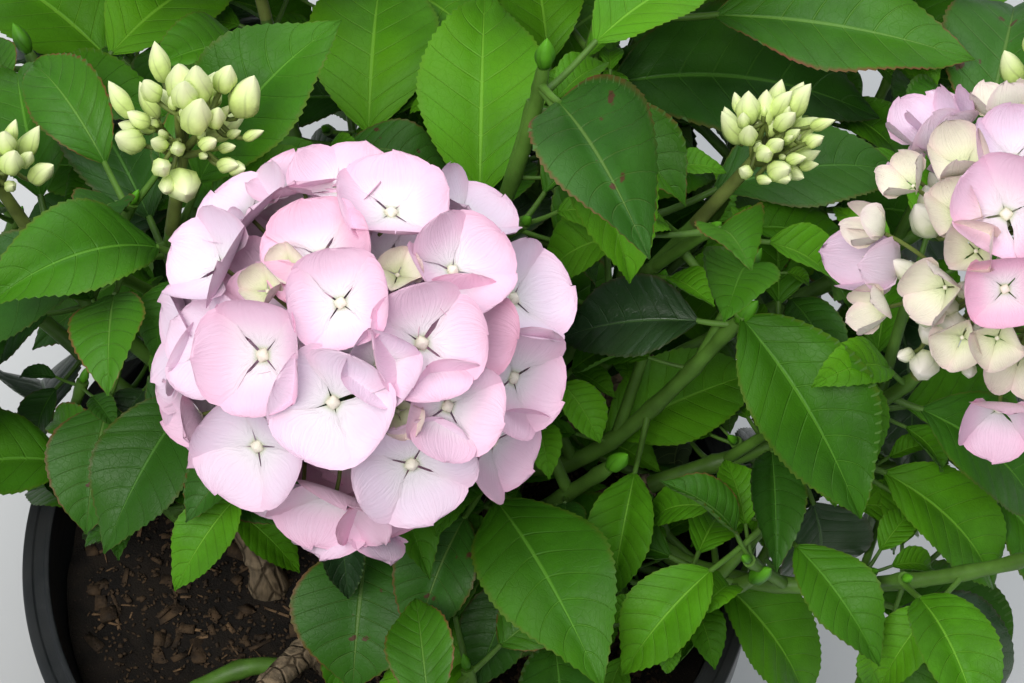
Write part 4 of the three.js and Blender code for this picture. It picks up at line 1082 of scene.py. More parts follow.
def petal_material(name, base, rim, heart):
    """Sepal colour: green foot, pale heart, a body that turns to the rim's colour, fine veins."""
    material, n, shader = new_material(name, 0.3)
    place, across, along = n.own_map()
    side = n.math("ABSOLUTE", n.minus(n.times(across, 2.0), 1.0))
    out = n.math("MAXIMUM", n.math("POWER", side, 2.0), n.math("POWER", along, 2.0))
    cloud = n.noise(place, 3.2, 3.0)
    tint = n.mix(n.ramp(n.plus(out, n.times(cloud, 0.5)), 0.35, 1.15), scaled(base, 1.04), rim)
    narrowed = n.add("ShaderNodeCombineXYZ", {0: n.times(across, 15.0), 1: along})
    streaks = n.noise(narrowed, 2.0, 3.0, 0.6)
    tint = n.mix(n.times(n.ramp(streaks, 0.45, 0.75), 0.22), tint, scaled(rim, 0.94))
    tint = n.mix(n.ramp(along, 0.42, 0.02), tint, heart)
    tint = n.mix(n.ramp(along, 0.10, 0.0), tint, (0.42, 0.50, 0.25))
    finish_shader(n, shader, tint, n.plus(0.5, n.times(streaks, 0.2)),
                  n.plus(streaks, n.times(cloud, 0.7)), 0.35)
    return material


def plain_plant_material(name, low, high, spots, scales, roughness, relief, tip=None):
    """Mottled colour with specks and fine grain; a tip colour may lie over the map's far end."""
    material, n, shader = new_material(name, 0.35)
    masks = speckled(n, scales)
    tone = n.mix(masks["Mottle"], low, high)
    tone = n.mix(n.times(masks["Specks"], 0.6), tone, spots)
    if tip:
        _, across, along = n.own_map()
        folds = n.math("PINGPONG", n.plus(n.times(across, 4.0), n.times(along, 0.8)), 0.5)
        tone = n.mix(n.times(n.ramp(folds, 0.1, 0.0), 0.55), tone, scaled(low, 0.62))
        tone = n.mix(n.ramp(along, 0.35, 1.0), tone, tip)
    rough = n.plus(roughness, n.times(masks["Mottle"], 0.15))
    finish_shader(n, shader, tone, rough, masks["Height"], relief)
    return material


# Pot and compost

def wall_radius(height):
    """Radius of the pot's inner wall, an even taper from floor to rim."""
    low, high = POT_FOOT_RADIUS - POT_WALL, POT_LIP_RADIUS - LIP_WIDTH
    return low + (high - low) * (height - POT_WALL) / (POT_HEIGHT - POT_WALL)


def rounded(profile, radii, steps):
    """Replaces each inner corner of a profile by a curve through points of its two sides."""
    points = [np.array(profile[0], float)]
    for before, corner, after, radius in zip(profile, profile[1:], profile[2:], radii):
        before, corner, after = (np.array(p, float) for p in (before, corner, after))
        start = corner + unit(before - corner) * radius
        end = corner + unit(after - corner) * radius
        t = np.linspace(0, 1, steps)[:, None]
        points += list(bow(start, corner, end, t))
    return np.array([*points, profile[-1]])


def lathe_grid(profile, segments):
    """A profile of radius and height carried round the upright axis."""
    angle = circle(segments)
    radius, height = profile[:, 0, None], profile[:, 1, None]
    return np.stack([radius * np.cos(angle), radius * np.sin(angle), height + 0 * angle], -1)[None]


def make_pot():
    """The pot as one turned wall: foot, tapering side, skirt, rolled lip, inside, floor."""
    rim, foot, lip, inner = POT_HEIGHT, POT_FOOT_RADIUS, POT_LIP_RADIUS, POT_LIP_RADIUS - LIP_WIDTH
    skirt = rim - LIP_DEPTH
    profile = [
        (0.4, 0), (foot - 12, 0), (foot - 10, 1.2), (foot - 7, 1.2), (foot - 5, 0), (foot, 0),
        (foot + 0.9, 9), (wall_radius(skirt - 14) + POT_WALL, skirt - 14),
        (wall_radius(skirt) + POT_WALL, skirt + 1.5), (lip - 2.6, skirt + 1.5), (lip - 2.4, skirt),
        (lip - 0.9, skirt), (lip, rim - 4), (lip, rim), (lip - 4, rim), (lip - 4.8, rim - 0.7),
        (inner + 2.4, rim - 0.7), (inner + 1.6, rim), (inner, rim), (wall_radius(rim - 5), rim - 5),
        (wall_radius(POT_WALL), POT_WALL), (0.4, POT_WALL)]
    radii = [0.5, 0.5, 0.5, 0.5, 1.2, 1.0, 1.0, 0.6, 0.6, 0.4, 0.4, 1.0, 1.8, 0.3, 0.3, 0.3, 0.3,
             0.6, 1.0, 2.0]
    gathered = Gathered()
    gathered.add_closed(lathe_grid(rounded(profile, radii, 4), 192))
    material, n, shader = new_material("pot_plastic", 0.42)
    place = n.place()
    masks = speckled(n, (18.0, 900.0, 0.16))
    height = n.split(place)[2]
    facing = n.split(n.add("ShaderNodeNewGeometry", output=1))[2]
    scratches = n.add("ShaderNodeTexNoise", {
        "Vector": n.stretched(place, (9.0, 9.0, 160.0)), "Scale": 6.0, "Detail": 4.0})
    dust = n.times(n.ramp(facing, 0.2, 0.95), n.ramp(masks["Mottle"], 0.1, 0.9, 0.25, 1.0))
    low = n.times(n.ramp(height, 0.06, 0.0), 0.5)
    base = tuple(colours().pot)
    tone = n.mix(n.times(masks["Mottle"], 0.5), base, scaled(base, 1.5))
    tone = n.mix(n.math("MAXIMUM", n.times(dust, 0.35), low), tone, (0.052, 0.047, 0.04))
    tone = n.mix(n.times(n.ramp(scratches, 0.62, 0.72), 0.3), tone, (0.05, 0.053, 0.056))
    tone = n.mix(n.times(masks["Specks"], 0.35), tone, (0.075, 0.065, 0.05))
    finish_shader(n, shader, tone, n.ramp(n.plus(scratches, dust), 0.35, 1.3, 0.38, 0.75),
                  n.plus(masks["Height"], n.times(scratches, 0.6)), 0.12)
    add_piece("pot_shell", gathered, material, ["pot"])


def compost_height(x, y):
    """Level round the canes, uneven out to the wall, with lumps and crumbs in three sizes."""
    radius = np.hypot(x, y)
    places = np.stack([x, y], -1)
    wave = np.sin(0.11 * x + 1.3) * np.cos(0.13 * y - 0.4) + 0.6 * np.sin(0.23 * x - 0.19 * y)
    outer = np.clip((radius - FLAT_CROWN_RADIUS) / 20, 0, 1)
    settled = -3.0 * np.clip((radius - 96) / 34, 0, 1)
    lumps = (1.5 * waves(places, 5, 26) + 1.0 * np.abs(waves(places, 6, 9))
             + 0.55 * waves(places, 8, 3.4, 3))
    return COMPOST_LEVEL - 0.6 + outer * (0.5 * COMPOST_BUMP * wave * 0.8 + settled) + lumps


def add_shards(gathered, centres, sizes_mm, dice, flat):
    """Broken chips: boxes whose eight corners are shifted, turned about and laid nearly flat."""
    number = len(centres)
    corner = np.array([[x, y, z] for z in (-1, 1) for y in (-1, 1) for x in (-1, 1)], float)
    shape = corner * 0.5 * sizes_mm[:, None] * dice.uniform(0.55, 1.1, (number, 8, 3))
    turn, tilt = dice.uniform(0, 2 * np.pi, number), dice.normal(0, 1 - flat, number)
    c, s, ct, st = np.cos(turn), np.sin(turn), np.cos(tilt), np.sin(tilt)
    zero = np.zeros(number)
    spin = np.array([[c, -s, zero], [s, c, zero], [zero, zero, zero + 1]]).transpose(2, 0, 1)
    lean = np.array([[ct, zero, st], [zero, zero + 1, zero], [-st, zero, ct]]).transpose(2, 0, 1)
    points = np.einsum("nij,nkj->nki", spin @ lean, shape) + centres[:, None]
    faces = np.array([[0, 2, 3, 1], [4, 5, 7, 6], [0, 1, 5, 4], [2, 6, 7, 3], [0, 4, 6, 2],
                      [1, 3, 7, 5]])
    first = (np.arange(number) * 8)[:, None, None]
    square = np.array([[0, 0], [1, 0], [1, 1], [0, 1]], float)
    gathered.add(points.reshape(-1, 3), (faces + first).reshape(-1, 4),
                 np.tile(square, (number * 6, 1, 1)))


def make_compost():
    """Compost as a round height field with a skirt down the wall, chips, slivers, grit, a clod."""
    edge = wall_radius(COMPOST_EDGE_HEIGHT)
    rings = np.sqrt(np.linspace(0, 1, 90)[1:]) * (edge - 0.6)
    radius, turn = np.meshgrid(rings, circle(300), indexing="ij")
    x, y = radius * np.cos(turn), radius * np.sin(turn)
    top = np.stack([x, y, compost_height(x, y)], -1)
    skirt = top[-1:] * np.array([0.985, 0.985, 0]) + UP * COMPOST_SKIRT_FOOT
    gathered = Gathered()
    gathered.add_closed(np.concatenate([top, skirt])[None], flip=True)
    hue = colours()
    dark = plain_plant_material("compost_dark", scaled(hue.compost, 0.55), scaled(hue.compost, 1.7),
                                (0.10, 0.07, 0.045), (90.0, 520.0, 0.14), 0.85, 1.1)
    add_piece("compost_top", gathered, dark, ["compost"])
    dice = np.random.default_rng(CHIP_SEED)
    chips, slivers = Gathered(), Gathered()
    for kind, number, low, high in ((chips, sizes().chips, (2.4, 1.6, 0.8), (13, 7.5, 2.8)),
                                    (chips, 5200, (0.8, 0.8, 0.6), (2.8, 2.2, 1.8)),
                                    (slivers, 260, (4, 0.6, 0.5), (22, 2.0, 1.2))):
        reach = np.sqrt(dice.uniform(0.0, 1, number)) * (edge - 9)
        turn = dice.uniform(0, 2 * np.pi, number)
        x, y = reach * np.cos(turn), reach * np.sin(turn)
        size = np.array(low) + (np.array(high) - low) * dice.uniform(0, 1, (number, 3)) ** 2.2
        z = compost_height(x, y) + size[:, 2] * 0.35
        add_shards(kind, np.stack([x, y, z], -1), size, dice, flat=0.78)
    turn, rise = np.meshgrid(np.linspace(0, 2 * np.pi, 40, endpoint=False),
                             np.linspace(-1.5, 1.5, 18))
    way = np.stack([np.cos(rise) * np.cos(turn), np.cos(rise) * np.sin(turn), np.sin(rise)], -1)
    clod = way * (11 + 1.8 * waves(way * 10, 9, 12))[..., None] * np.array([1, 0.85, 0.6])
    clod += np.array([*CLOD_PLACE, compost_height(*CLOD_PLACE) + 2])
    chips.add_closed(clod[None])
    bark = plain_plant_material("bark_chips", scaled(hue.chip, 0.3), scaled(hue.chip, 1.15),
                                (0.03, 0.022, 0.015), (140.0, 700.0, 0.2), 0.72, 0.5)
    tan = plain_plant_material("wood_slivers", scaled(hue.chip, 1.3), scaled(hue.chip, 2.6),
                               (0.10, 0.06, 0.03), (200.0, 900.0, 0.2), 0.7, 0.3)
    add_piece("compost_chips", chips, bark, ["compost"])
    add_piece("compost_slivers", slivers, tan, ["compost"])


# Canes, stems, petioles

def make_canes():
    """Canes along the solids' paths, with long bark grooves, scars at the old leaf pairs, flare."""
    rings, sides = 72, 20
    share = np.linspace(-0.012, 1, rings)
    angle = circle(sides)
    gathered = Gathered()
    for index, part in enumerate(part for part in grown_plant() if part.start > 0):
        path = bend_point(part.path, CANE_SHARE * np.maximum(share, 0))
        path[0] -= UP * 4
        long = share[:, None] * 90
        groove = np.cos(5 * angle + 1.3 * np.sin(long * 0.11 + index) + index) ** 3
        groove = groove + 0.7 * np.sin(9 * angle + 0.21 * long + 2.1 * index + np.sin(long * 0.3))
        scars = np.exp(-(((share * 3.1 + 0.17 * index) % 1 - 0.5) / 0.055) ** 2)[:, None]
        radius = cane_radius(np.maximum(share, 0))[:, None]
        rough = (radius + sizes().bark_relief * MM_PER_M * 0.5 * groove
                 + scars * (0.9 + 0.3 * np.cos(2 * angle)))
        rough = rough * (1 + 0.035 * np.sin(3 * angle + 0.05 * long))
        add_tubes(gathered, path[None], rough[None], sides)
    hue = colours()
    material, n, shader = new_material("cane_bark", 0.25)
    place = n.place()
    fibre = n.noise(n.stretched(place, (420.0, 420.0, 45.0)), 1.0, 5.0)
    flake = n.cells(n.stretched(place, (150.0, 150.0, 40.0)), 1.0)
    masks = speckled(n, (45.0, 380.0, 0.14))
    tone = n.mix(n.ramp(fibre, 0.35, 0.65), scaled(hue.bark, 0.5), scaled(hue.bark, 1.35))
    tone = n.mix(n.times(masks["Mottle"], 0.4), tone, (0.26, 0.21, 0.15))
    tone = n.mix(n.ramp(flake, 0.07, 0.0), tone, scaled(hue.bark, 0.35))
    tone = n.mix(n.times(masks["Specks"], 0.7), tone, (0.33, 0.27, 0.19))
    finish_shader(n, shader, tone, n.ramp(fibre, 0.3, 0.7, 0.62, 0.88),
                  n.plus(fibre, n.times(n.ramp(flake, 0.0, 0.12), 0.9)), 0.7)
    add_piece("canes", gathered, material, node_names("cane_"))


def make_stems():
    """Green stems with swollen joints, side twigs, a petiole for every leaf, and leaf buds."""
    gathered = Gathered()
    plan = grown_plant()
    for part in plan:
        share = np.linspace(0, 1, 44)
        path = bend_point(part.path, part.start + (1 - part.start) * share)
        path[0] -= (path[1] - path[0]) * (0.5 if part.start == 0 else 0.1)
        joints = (part.shares - part.start) / (1 - part.start)
        knots = np.exp(-((share[:, None] - joints) * path_length(part.path) / 3.6) ** 2).sum(1)
        radius = part.thick * stem_radius(share) * (1 + 0.2 * knots) * (1 - 0.18 * (share > 0.985))
        add_tubes(gathered, path[None], radius[None], 12)
        for twig in part.twigs:
            along = np.linspace(0, 1, 10)
            line = twig.root + (twig.tip - twig.root) * along[:, None]
            radius = TWIG_RADIUS * (1.12 - 0.2 * along + 0.25 * (along > 0.88))
            add_tubes(gathered, line[None], radius[None], 9)
    leaves = [leaf for part in plan for leaf in part.leaves]
    base = np.array([rib_frames(leaf, [0.02])[0][0] for leaf in leaves])
    root = np.array([leaf.root for leaf in leaves])
    along = np.linspace(0, 1, 8)[:, None]
    sag = np.array([leaf.petiole for leaf in leaves])[:, None, None] * 0.05
    lines = root[:, None] + (base - root)[:, None] * along - UP * sag * np.sin(np.pi * along)
    thick = np.array([1.75 * np.sqrt(leaf.length / LEAF_LENGTH) for leaf in leaves])[:, None]
    radii = thick * (1 + 0.45 * (1 - along[:, 0]) ** 6 - 0.2 * along[:, 0])
    add_tubes(gathered, lines, radii, 8)
    hue = colours()
    green = plain_plant_material("stem_green", scaled(hue.stem, 0.75), scaled(hue.stem, 1.3),
                                 (0.12, 0.045, 0.03), (70.0, 620.0, 0.13), 0.42, 0.12)
    add_piece("stems", gathered, green, node_names("leaves_"))
    tips = [part for part in plan if not part.head]
    twigs = [twig for part in plan for twig in part.twigs]
    buds = Gathered()
    base = np.array([part.tip for part in tips] + [twig.tip for twig in twigs])
    way = unit(np.array([part.top for part in tips] + [twig.tip - twig.root for twig in twigs]))
    reach = np.array([15.0] * len(tips) + [8.0] * len(twigs))
    add_spindles(buds, base - way * 1.0, way, reach, reach * 0.24)
    young = plain_plant_material("leaf_buds", scaled(hue.leaf_fresh, 0.9),
                                 scaled(hue.leaf_bright, 1.2), (0.12, 0.045, 0.03),
                                 (110.0, 700.0, 0.1), 0.42, 0.1, scaled(hue.leaf_bright, 1.5))
    add_piece("leaf_buds", buds, young, node_names("leaves_"))


# Leaves

def leaf_rows(teeth):
    """Shares along a blade: a notch and a tip for each tooth; 1 marks tips, -0.4 notches."""
    notch = 0.05 + 0.91 * np.arange(teeth + 1) / teeth
    tip = notch[:-1] + 0.66 * 0.91 / teeth
    shares = np.concatenate([[0, 0.018], notch, tip, [0.982, 1]])
    marks = np.concatenate([[0, 0], np.full(teeth + 1, -0.4), np.ones(teeth), [0, 0]])
    order = np.argsort(shares, kind="stable")
    return shares[order], marks[order]


def leaf_surface(leaf, dice):
    """Points, faces and places of one blade's two sides, and which points lie on its margin.

    Across the rib the blade rises by the fold as a rounded gutter. It bulges between the side
    veins by the 0.75th power of a cosine of the place between two of them, waves along its
    margin, may curl there, and its margin carries forward-pointing teeth.
    """
    size = sizes()
    teeth = int(np.clip(round(leaf.length / TOOTH_PITCH), MIN_TEETH, MAX_TEETH))
    shares, marks = leaf_rows(teeth)
    point, left, normal = (part[:, None] for part in rib_frames(leaf, shares))
    forward = np.cross(left, normal)
    u = shares[:, None]
    v = (LEAF_COLUMNS if leaf.length > SMALL_LEAF else SMALL_LEAF_COLUMNS)[None]
    a, side, half = np.abs(v), np.sign(v), (v[0] > 0).astype(int)
    scale = leaf.length / LEAF_LENGTH
    width = np.maximum(half_width(leaf, shares), 0.5)[:, None]
    ends = np.minimum(1, 9 * u) * np.minimum(1, 7 * (1 - u))
    tooth = size.tooth_depth * MM_PER_M * scale ** 0.6 * ends * marks[:, None]
    tooth = tooth * dice.uniform(0.6, 1.4, (len(shares), 2))[:, half]
    swept = u - (VEIN_SWEEP - VEIN_STRAIGHTENS * u) * a**VEIN_BEND
    turn = swept * VEIN_RATE * size.side_veins + VEIN_START
    quilt = np.abs(np.cos(np.pi * (turn % 1))) ** 0.75 * a * (1.4 - a) * 2.0
    phase = dice.uniform(0, 2 * np.pi, 2)[half]
    wave = np.sin(2 * np.pi * 1.9 * u + phase) * a**2
    slow = np.sin(2 * np.pi * 0.8 * u + phase[0]) * a * 0.8
    curl = np.array(leaf.curl)[half] * np.clip((a - 0.5) / 0.5, 0, 1) ** 2
    fold = np.radians(leaf.fold)
    across = (v * width * (1 - 0.22 * np.abs(curl)) + side * tooth * a**10) * np.cos(fold)
    lift = width * np.sin(fold) * a * (1.55 - 0.55 * a)
    lift = lift + ends * scale * (quilt * size.vein_relief * leaf.quilt * MM_PER_M
                                  + (wave + slow) * size.leaf_wave * MM_PER_M)
    lift = lift + width * curl * 0.75 - 0.5 * np.exp(-(a / 0.08) ** 2) * ends
    top = (point + left * across[..., None] + normal * lift[..., None]
           + forward * (np.maximum(tooth, 0) * a**10 * 0.5)[..., None])
    rows, columns = top.shape[:2]
    thin = size.leaf_thickness * MM_PER_M * (0.6 + 0.4 * scale)
    ridge = 1.1 * scale * (1 - u) * (v == 0)
    under = (top - normal * (thin + ridge)[..., None])[1:-1, 1:-1]
    inside = (rows - 2) * (columns - 2)
    below = np.arange(rows * columns).reshape(rows, columns)
    below[1:-1, 1:-1] = rows * columns + np.arange(inside).reshape(rows - 2, -1)
    faces = grid_faces(rows, columns)
    place = np.broadcast_arrays(MAP_MIDDLE + MAP_HALF * v, MAP_FOOT + MAP_LENGTH * u)
    place = np.stack(place, -1).reshape(-1, 2)
    edge = np.ones((rows, columns), bool)
    edge[1:-1, 1:-1] = False
    upper = faces[:, ::-1]
    return (np.concatenate([top.reshape(-1, 3), under.reshape(-1, 3)]),
            np.concatenate([upper, below.ravel()[faces]]),
            np.concatenate([place[upper], place[faces] + np.array([0.5, 0])]),
            np.concatenate([edge.ravel(), np.zeros(inside, bool)]))


def deal_finish(leaf, shaded, dice):
    """Young, high and small leaves come out bright; low and old ones deep; shaded ones deeper, as
    painted shade; a few marked.
    """
    draw = dice.uniform()
    if leaf.depth == 0 and leaf.scale < 0.5 and not shaded:
        return "bright"
    if draw > WORN_FROM:
        return "worn"
    if draw > EDGED_FROM:
        return "edged"
    age = leaf.depth * AGE_PER_PAIR + dice.uniform(0, AGE_CHANCE)
    age += LOW_AGE if leaf.root[2] < LOW_ROOT else HIGH_AGE
    # Painted shade: leaves of the shaded shoots count as older and come out darker
    age += PAINTED_SHADE_AGE * shaded
    return LEAF_FINISHES[int(np.clip(age * AGE_STEPS, 0, LEAF_FINISHES.index("dark")))]


def make_leaves():
    """All blades, joined by finish into pieces of fewer than 200,000 triangles."""
    hue = colours()
    looks = {  # base, vein colour, specular level, roughness, red on the margin, share of brown
        "bright": (hue.leaf_bright, (0.14, 0.34, 0.025), 0.16, 0.45, 0.15, 0.0),
        "fresh": (hue.leaf_fresh, (0.085, 0.235, 0.02), 0.17, 0.42, 0.25, 0.0),
        "deep": (hue.leaf_deep, (0.06, 0.17, 0.02), 0.2, 0.4, 0.3, 0.0),
        "dark": (hue.leaf_dark, (0.06, 0.13, 0.035), 0.5, 0.3, 0.2, 0.0),
        "edged": (hue.leaf_fresh, (0.10, 0.22, 0.03), 0.25, 0.42, 1.0, 0.02),
        "worn": (scaled(hue.leaf_deep, 1.25), (0.09, 0.17, 0.03), 0.25, 0.46, 0.8, 0.09),
    }
    joined = {finish: [(Gathered(), [])] for finish in LEAF_FINISHES}
    dice = np.random.default_rng(LEAF_SEED)
    for part in grown_plant():
        for leaf in part.leaves:
            curled = dice.uniform(size=2) > CURLED_FROM
            curl = np.where(curled, dice.uniform(*CURLED, 2), dice.uniform(*UNCURLED, 2))
            finish = deal_finish(leaf, part.name in SHADED_SHOOTS, dice)
            leaf.curl = leaf.curl or tuple(curl)
            leaf.quilt = dice.uniform(*QUILTED) * (DARK_QUILT if leaf.finish == "dark" else 1)
            batches = joined[leaf.finish or finish]
            if sum(map(len, batches[-1][0].faces)) > MOST_LEAF_FACES:
                batches.append((Gathered(), []))
            points, faces, places, margin = leaf_surface(leaf, dice)
            batches[-1][0].add(points, faces, places)
            batches[-1][1].append(margin)
    for finish, batches in joined.items():
        material = leaf_material(finish, *looks[finish])
        for index, (gathered, margins) in enumerate(batches, 1):
            add_piece(f"leaves_{finish}_{index}", gathered, material, node_names("leaves_"),
                      np.concatenate(margins))


# Flower heads

def headed(kind):
    """The shoots that carry a kind of head."""
    return [part for part in grown_plant() if part.head == kind]


def spread_ways(count, lowest, turn, top):
    """Directions evenly over a ball from its top to a lowest height, each a golden turn on."""
    index = np.arange(count)
    height = 1 - (index + 0.5) / count * (1 - lowest)
    way = heading(turn + GOLDEN_TURN * index, np.degrees(np.arcsin(height)))
    return tilted(way, top)


def tilted(way, top):
    """Turns directions by the shortest turn that takes straight up to the top direction."""
    axis, cosine = np.cross(UP, top), top[2]
    return (way * cosine + np.cross(axis, way)
            + axis * (way @ axis)[..., None] * (1 / (1 + cosine)))


def floret_grids(centre, way, spin, reach, cup, dice):
    """Four sepals round each floret's way, as grids (florets * 4, 9, 7, 3).

    Along the sepal s and across it t: the half width grows from a narrow claw as a power of sine
    to its widest share and ends as an ellipse. The height is the cup times 0.25 s + 0.75 s^2.2,
    plus an upturned rim and a slow wave, and alternate sepals lie higher.
    """
    number = len(centre)
    s, t = np.meshgrid(np.sin(np.linspace(0, np.pi / 2, 9)), np.linspace(-1, 1, 7),
                       indexing="ij")
    s, t = s[None, None], t[None, None]
    shape = dice.uniform(0.9, 1.12, (number, 4, 1, 1))
    rumple = dice.uniform(0, 2 * np.pi, (number, 4, 1, 1))
    bowl = cup[:, None, None, None] * dice.uniform(0.8, 1.2, (number, 4, 1, 1))
    high = np.array([0, 1, 0, 1])[None, :, None, None]
    narrow = np.sin(np.pi / 2 * np.minimum(s / SEPAL_WIDEST, 1)) ** 1.9
    blunt = np.maximum(1 - np.maximum((s - SEPAL_WIDEST) / SEPAL_END, 0) ** 2, 3e-4)
    half = 0.72 * shape * narrow * np.sqrt(blunt)
    out = 0.03 + 0.97 * s
    across = t * half * (1 - 0.18 * bowl * s)
    lift = (bowl * (0.25 * s + 0.75 * s**2.2) + 0.13 * half**2 * t**2 * (0.3 + bowl)
            + 0.05 * np.sin(2.2 * t + 3.0 * s + rumple) * s**2 + 0.05 * high * s * (1.4 - s) + 0.02)
    curled = out * (1 - 0.30 * bowl * s**2)
    angle = spin[:, None] + np.pi / 2 * np.arange(4) + dice.normal(0, 0.06, (number, 4))
    first, second = side_ways(way)
    c, d = np.cos(angle)[..., None], np.sin(angle)[..., None]
    ahead = (first[:, None] * c + second[:, None] * d)[:, :, None, None]
    beside = (second[:, None] * c - first[:, None] * d)[:, :, None, None]
    sepal = (ahead * curled[..., None] + beside * across[..., None]
             + way[:, None, None, None] * lift[..., None])
    grids = centre[:, None, None, None] + reach[:, None, None, None, None] * sepal
    return grids.reshape(-1, *grids.shape[2:])


def add_hearts(gathered, centre, way, radius):
    """The closed bud in the middle of a floret: a squat dome with four shallow corners."""
    add_spindles(gathered, centre - way * radius[:, None] * 0.4, way, radius * 1.35, radius,
                 rings=6, seam=0.14)


def dealt_florets(part, count, depth, turn, away, dice):
    """Florets spread by the golden turn; those too near a set one are left out."""
    way = spread_ways(count, -0.55, part.turn + turn, part.top)
    way = unit(way + dice.normal(0, 0.05, way.shape))
    if len(away):
        way = way[(way @ away.T).max(1) < np.cos(np.radians(SET_FLORET_SPACE))]
    count = len(way)
    size = sizes()
    depth = depth + dice.uniform(-0.05, 0.05, count)
    face = unit(way + dice.normal(0, 0.17, way.shape) + part.top * 0.2)
    reach = size.floret_radius * MM_PER_M * part.size * dice.uniform(0.84, 1.08, count)
    cup = size.sepal_cup * dice.uniform(0.5, 1.3, count)
    crown = way @ unit(part.top + np.array([-0.1, 0.25, 0.1])) > 0.93
    young = crown & (dice.uniform(size=count) < 0.6)
    young |= dice.uniform(size=count) < 0.05
    reach, cup = np.where(young, reach * 0.5, reach), np.where(young, 1.0, cup)
    # Florets that face up and towards the light come out paler and those that face away pinker:
    # painted highlight and shade, over a tone that varies at random
    tone = (0.5 + 0.5 * waves(way, PETAL_TONE_SEED + part.index, 1.6, 2)
            + dice.normal(0, 0.16, count) + 0.22 * (0.35 - way @ unit(part.top + 0.35 * LIGHT_WAY)))
    finish = np.select([young, tone < 0.45, tone < 0.9], [CREAM, PALE, PINK], ROSE)
    return way, face, depth, reach, cup, dice.uniform(0, 2 * np.pi, count), finish


def set_florets(part, dice):
    """The florets of the head's own table, faced outwards."""
    rows = SET_FLORETS.get(part.name, [])
    table = np.array([row[:6] for row in rows], float).reshape(-1, 6)
    way = heading(table[:, 0], table[:, 1])
    face = unit(way + dice.normal(0, 0.05, way.shape) + LIGHT_WAY * 0.4)
    finish = np.array([PETAL_FINISHES.index(row[6]) for row in rows], int)
    return way, face, table[:, 2], table[:, 3], table[:, 4], np.radians(table[:, 5]), finish


def add_florets(part, dealt, dice, florets, hearts, stalks):
    """Sepals by finish, a heart in each floret and a stalk to each."""
    way, face, depth, reach, cup, spin, finish = dealt
    centre = part.centre + way * (part.radius * depth)[:, None]
    grids = floret_grids(centre, face, spin, reach, cup, dice)
    for index, name in enumerate(PETAL_FINISHES):
        chosen = np.repeat(finish == index, 4)
        if chosen.any():
            florets[name].add_grids(grids[chosen], flip=True)
    heart = np.where(finish == CREAM, 1.4, 2.2) * np.clip(reach / 20, 0.6, 1.1)
    add_hearts(hearts, centre + face * 0.4, face, heart)
    add_pedicels(part, stalks, centre, way, face)


def head_florets(part, dice, florets, hearts, stalks):
    """One head's set florets, the rule's outer layer, and an inner one that fills its gaps."""
    number = int(sizes().florets * part.size ** 2)
    fixed = set_florets(part, dice)
    away = fixed[0][fixed[3] > FULL_FLORET]
    inner = dealt_florets(part, int(number * INNER_FLORET_SHARE), INNER_DEPTH, INNER_TURN,
                          away[:0], dice)
    for dealt in (fixed, dealt_florets(part, number, OUTER_DEPTH, 0, away, dice), inner):
        if len(dealt[0]):
            add_florets(part, dealt, dice, florets, hearts, stalks)


def add_pedicels(part, stalks, ends, way, face, thick=0.75):
    """Thin stalks: each bows from the nearest fork to its flower's underside."""
    forks = spread_ways(FORKS, FORK_LOWEST, part.turn, part.top)
    nearest = forks[np.argmax(way @ forks.T, axis=1)]
    start = part.centre + nearest * part.radius * FORK_REACH
    middle = ends - face * part.radius * 0.16
    lines = bow(start[:, None], middle[:, None], ends[:, None], np.linspace(0, 1, 5)[:, None])
    add_tubes(stalks, lines, np.full(lines.shape[:2], thick), 5)


def add_branches(part, stalks):
    """The head's stalk and arching branches from it out to the forks."""
    t = np.linspace(0, 1, 9)[:, None]
    base = part.tip - part.top * 1.5
    hub = part.centre - part.top * part.radius * 0.45
    line = base + (hub - base) * t
    add_tubes(stalks, line[None], np.linspace(2.7, 2.3, 9)[None], 9)
    forks = spread_ways(FORKS, FORK_LOWEST, part.turn, part.top)
    ends = part.centre + forks * part.radius * FORK_REACH
    middle = (hub + ends) / 2 - part.top * part.radius * 0.1
    lines = bow(hub, middle[:, None], ends[:, None], t)
    add_tubes(stalks, lines, np.broadcast_to(np.linspace(1.8, 1.0, 9), lines.shape[:2]), 7)


def petal_materials(name="petal"):
    """The sepals' materials by finish."""
    hue = colours()
    heart = (0.78, 0.74, 0.76)
    looks = {  # body, rim, heart
        "pink": (hue.petal_pink, scaled(hue.petal_rose, 1.0), heart),
        "pale": (hue.petal_pale, scaled(hue.petal_pink, 1.02), heart),
        "rose": (hue.petal_rose, (0.79, 0.42, 0.56), heart),
        "cream": (hue.petal_cream, (0.80, 0.66, 0.62), (0.68, 0.74, 0.44)),
    }
    return {finish: petal_material(f"{name}_{finish}", *look) for finish, look in looks.items()}


def make_mopheads():
    """The open heads: florets by finish, their hearts, and the stalks that carry them."""
    florets = {name: Gathered() for name in PETAL_FINISHES}
    hearts, stalks = Gathered(), Gathered()
    for part in headed("mop"):
        add_branches(part, stalks)
        dice = np.random.default_rng(MOPHEAD_SEED + part.index)
        head_florets(part, dice, florets, hearts, stalks)
    nodes = node_names("mophead_")
    for name, material in petal_materials().items():
        add_piece(f"florets_{name}", florets[name], material, nodes)
    cream = plain_plant_material("floret_hearts", (0.55, 0.56, 0.38), (0.80, 0.76, 0.62),
                                 (0.30, 0.32, 0.18), (500.0, 1500.0, 0.1), 0.5, 0.08,
                                 (0.84, 0.78, 0.66))
    add_piece("floret_hearts", hearts, cream, nodes)
    add_piece("mophead_stalks", stalks, stalk_material(), nodes)


@functools.lru_cache(maxsize=1)
def stalk_material():
    hue = colours()
    return plain_plant_material("flower_stalk", scaled(hue.stalk, 0.65), scaled(hue.stalk, 1.35),
                                (0.16, 0.06, 0.04), (90.0, 700.0, 0.16), 0.45, 0.1)


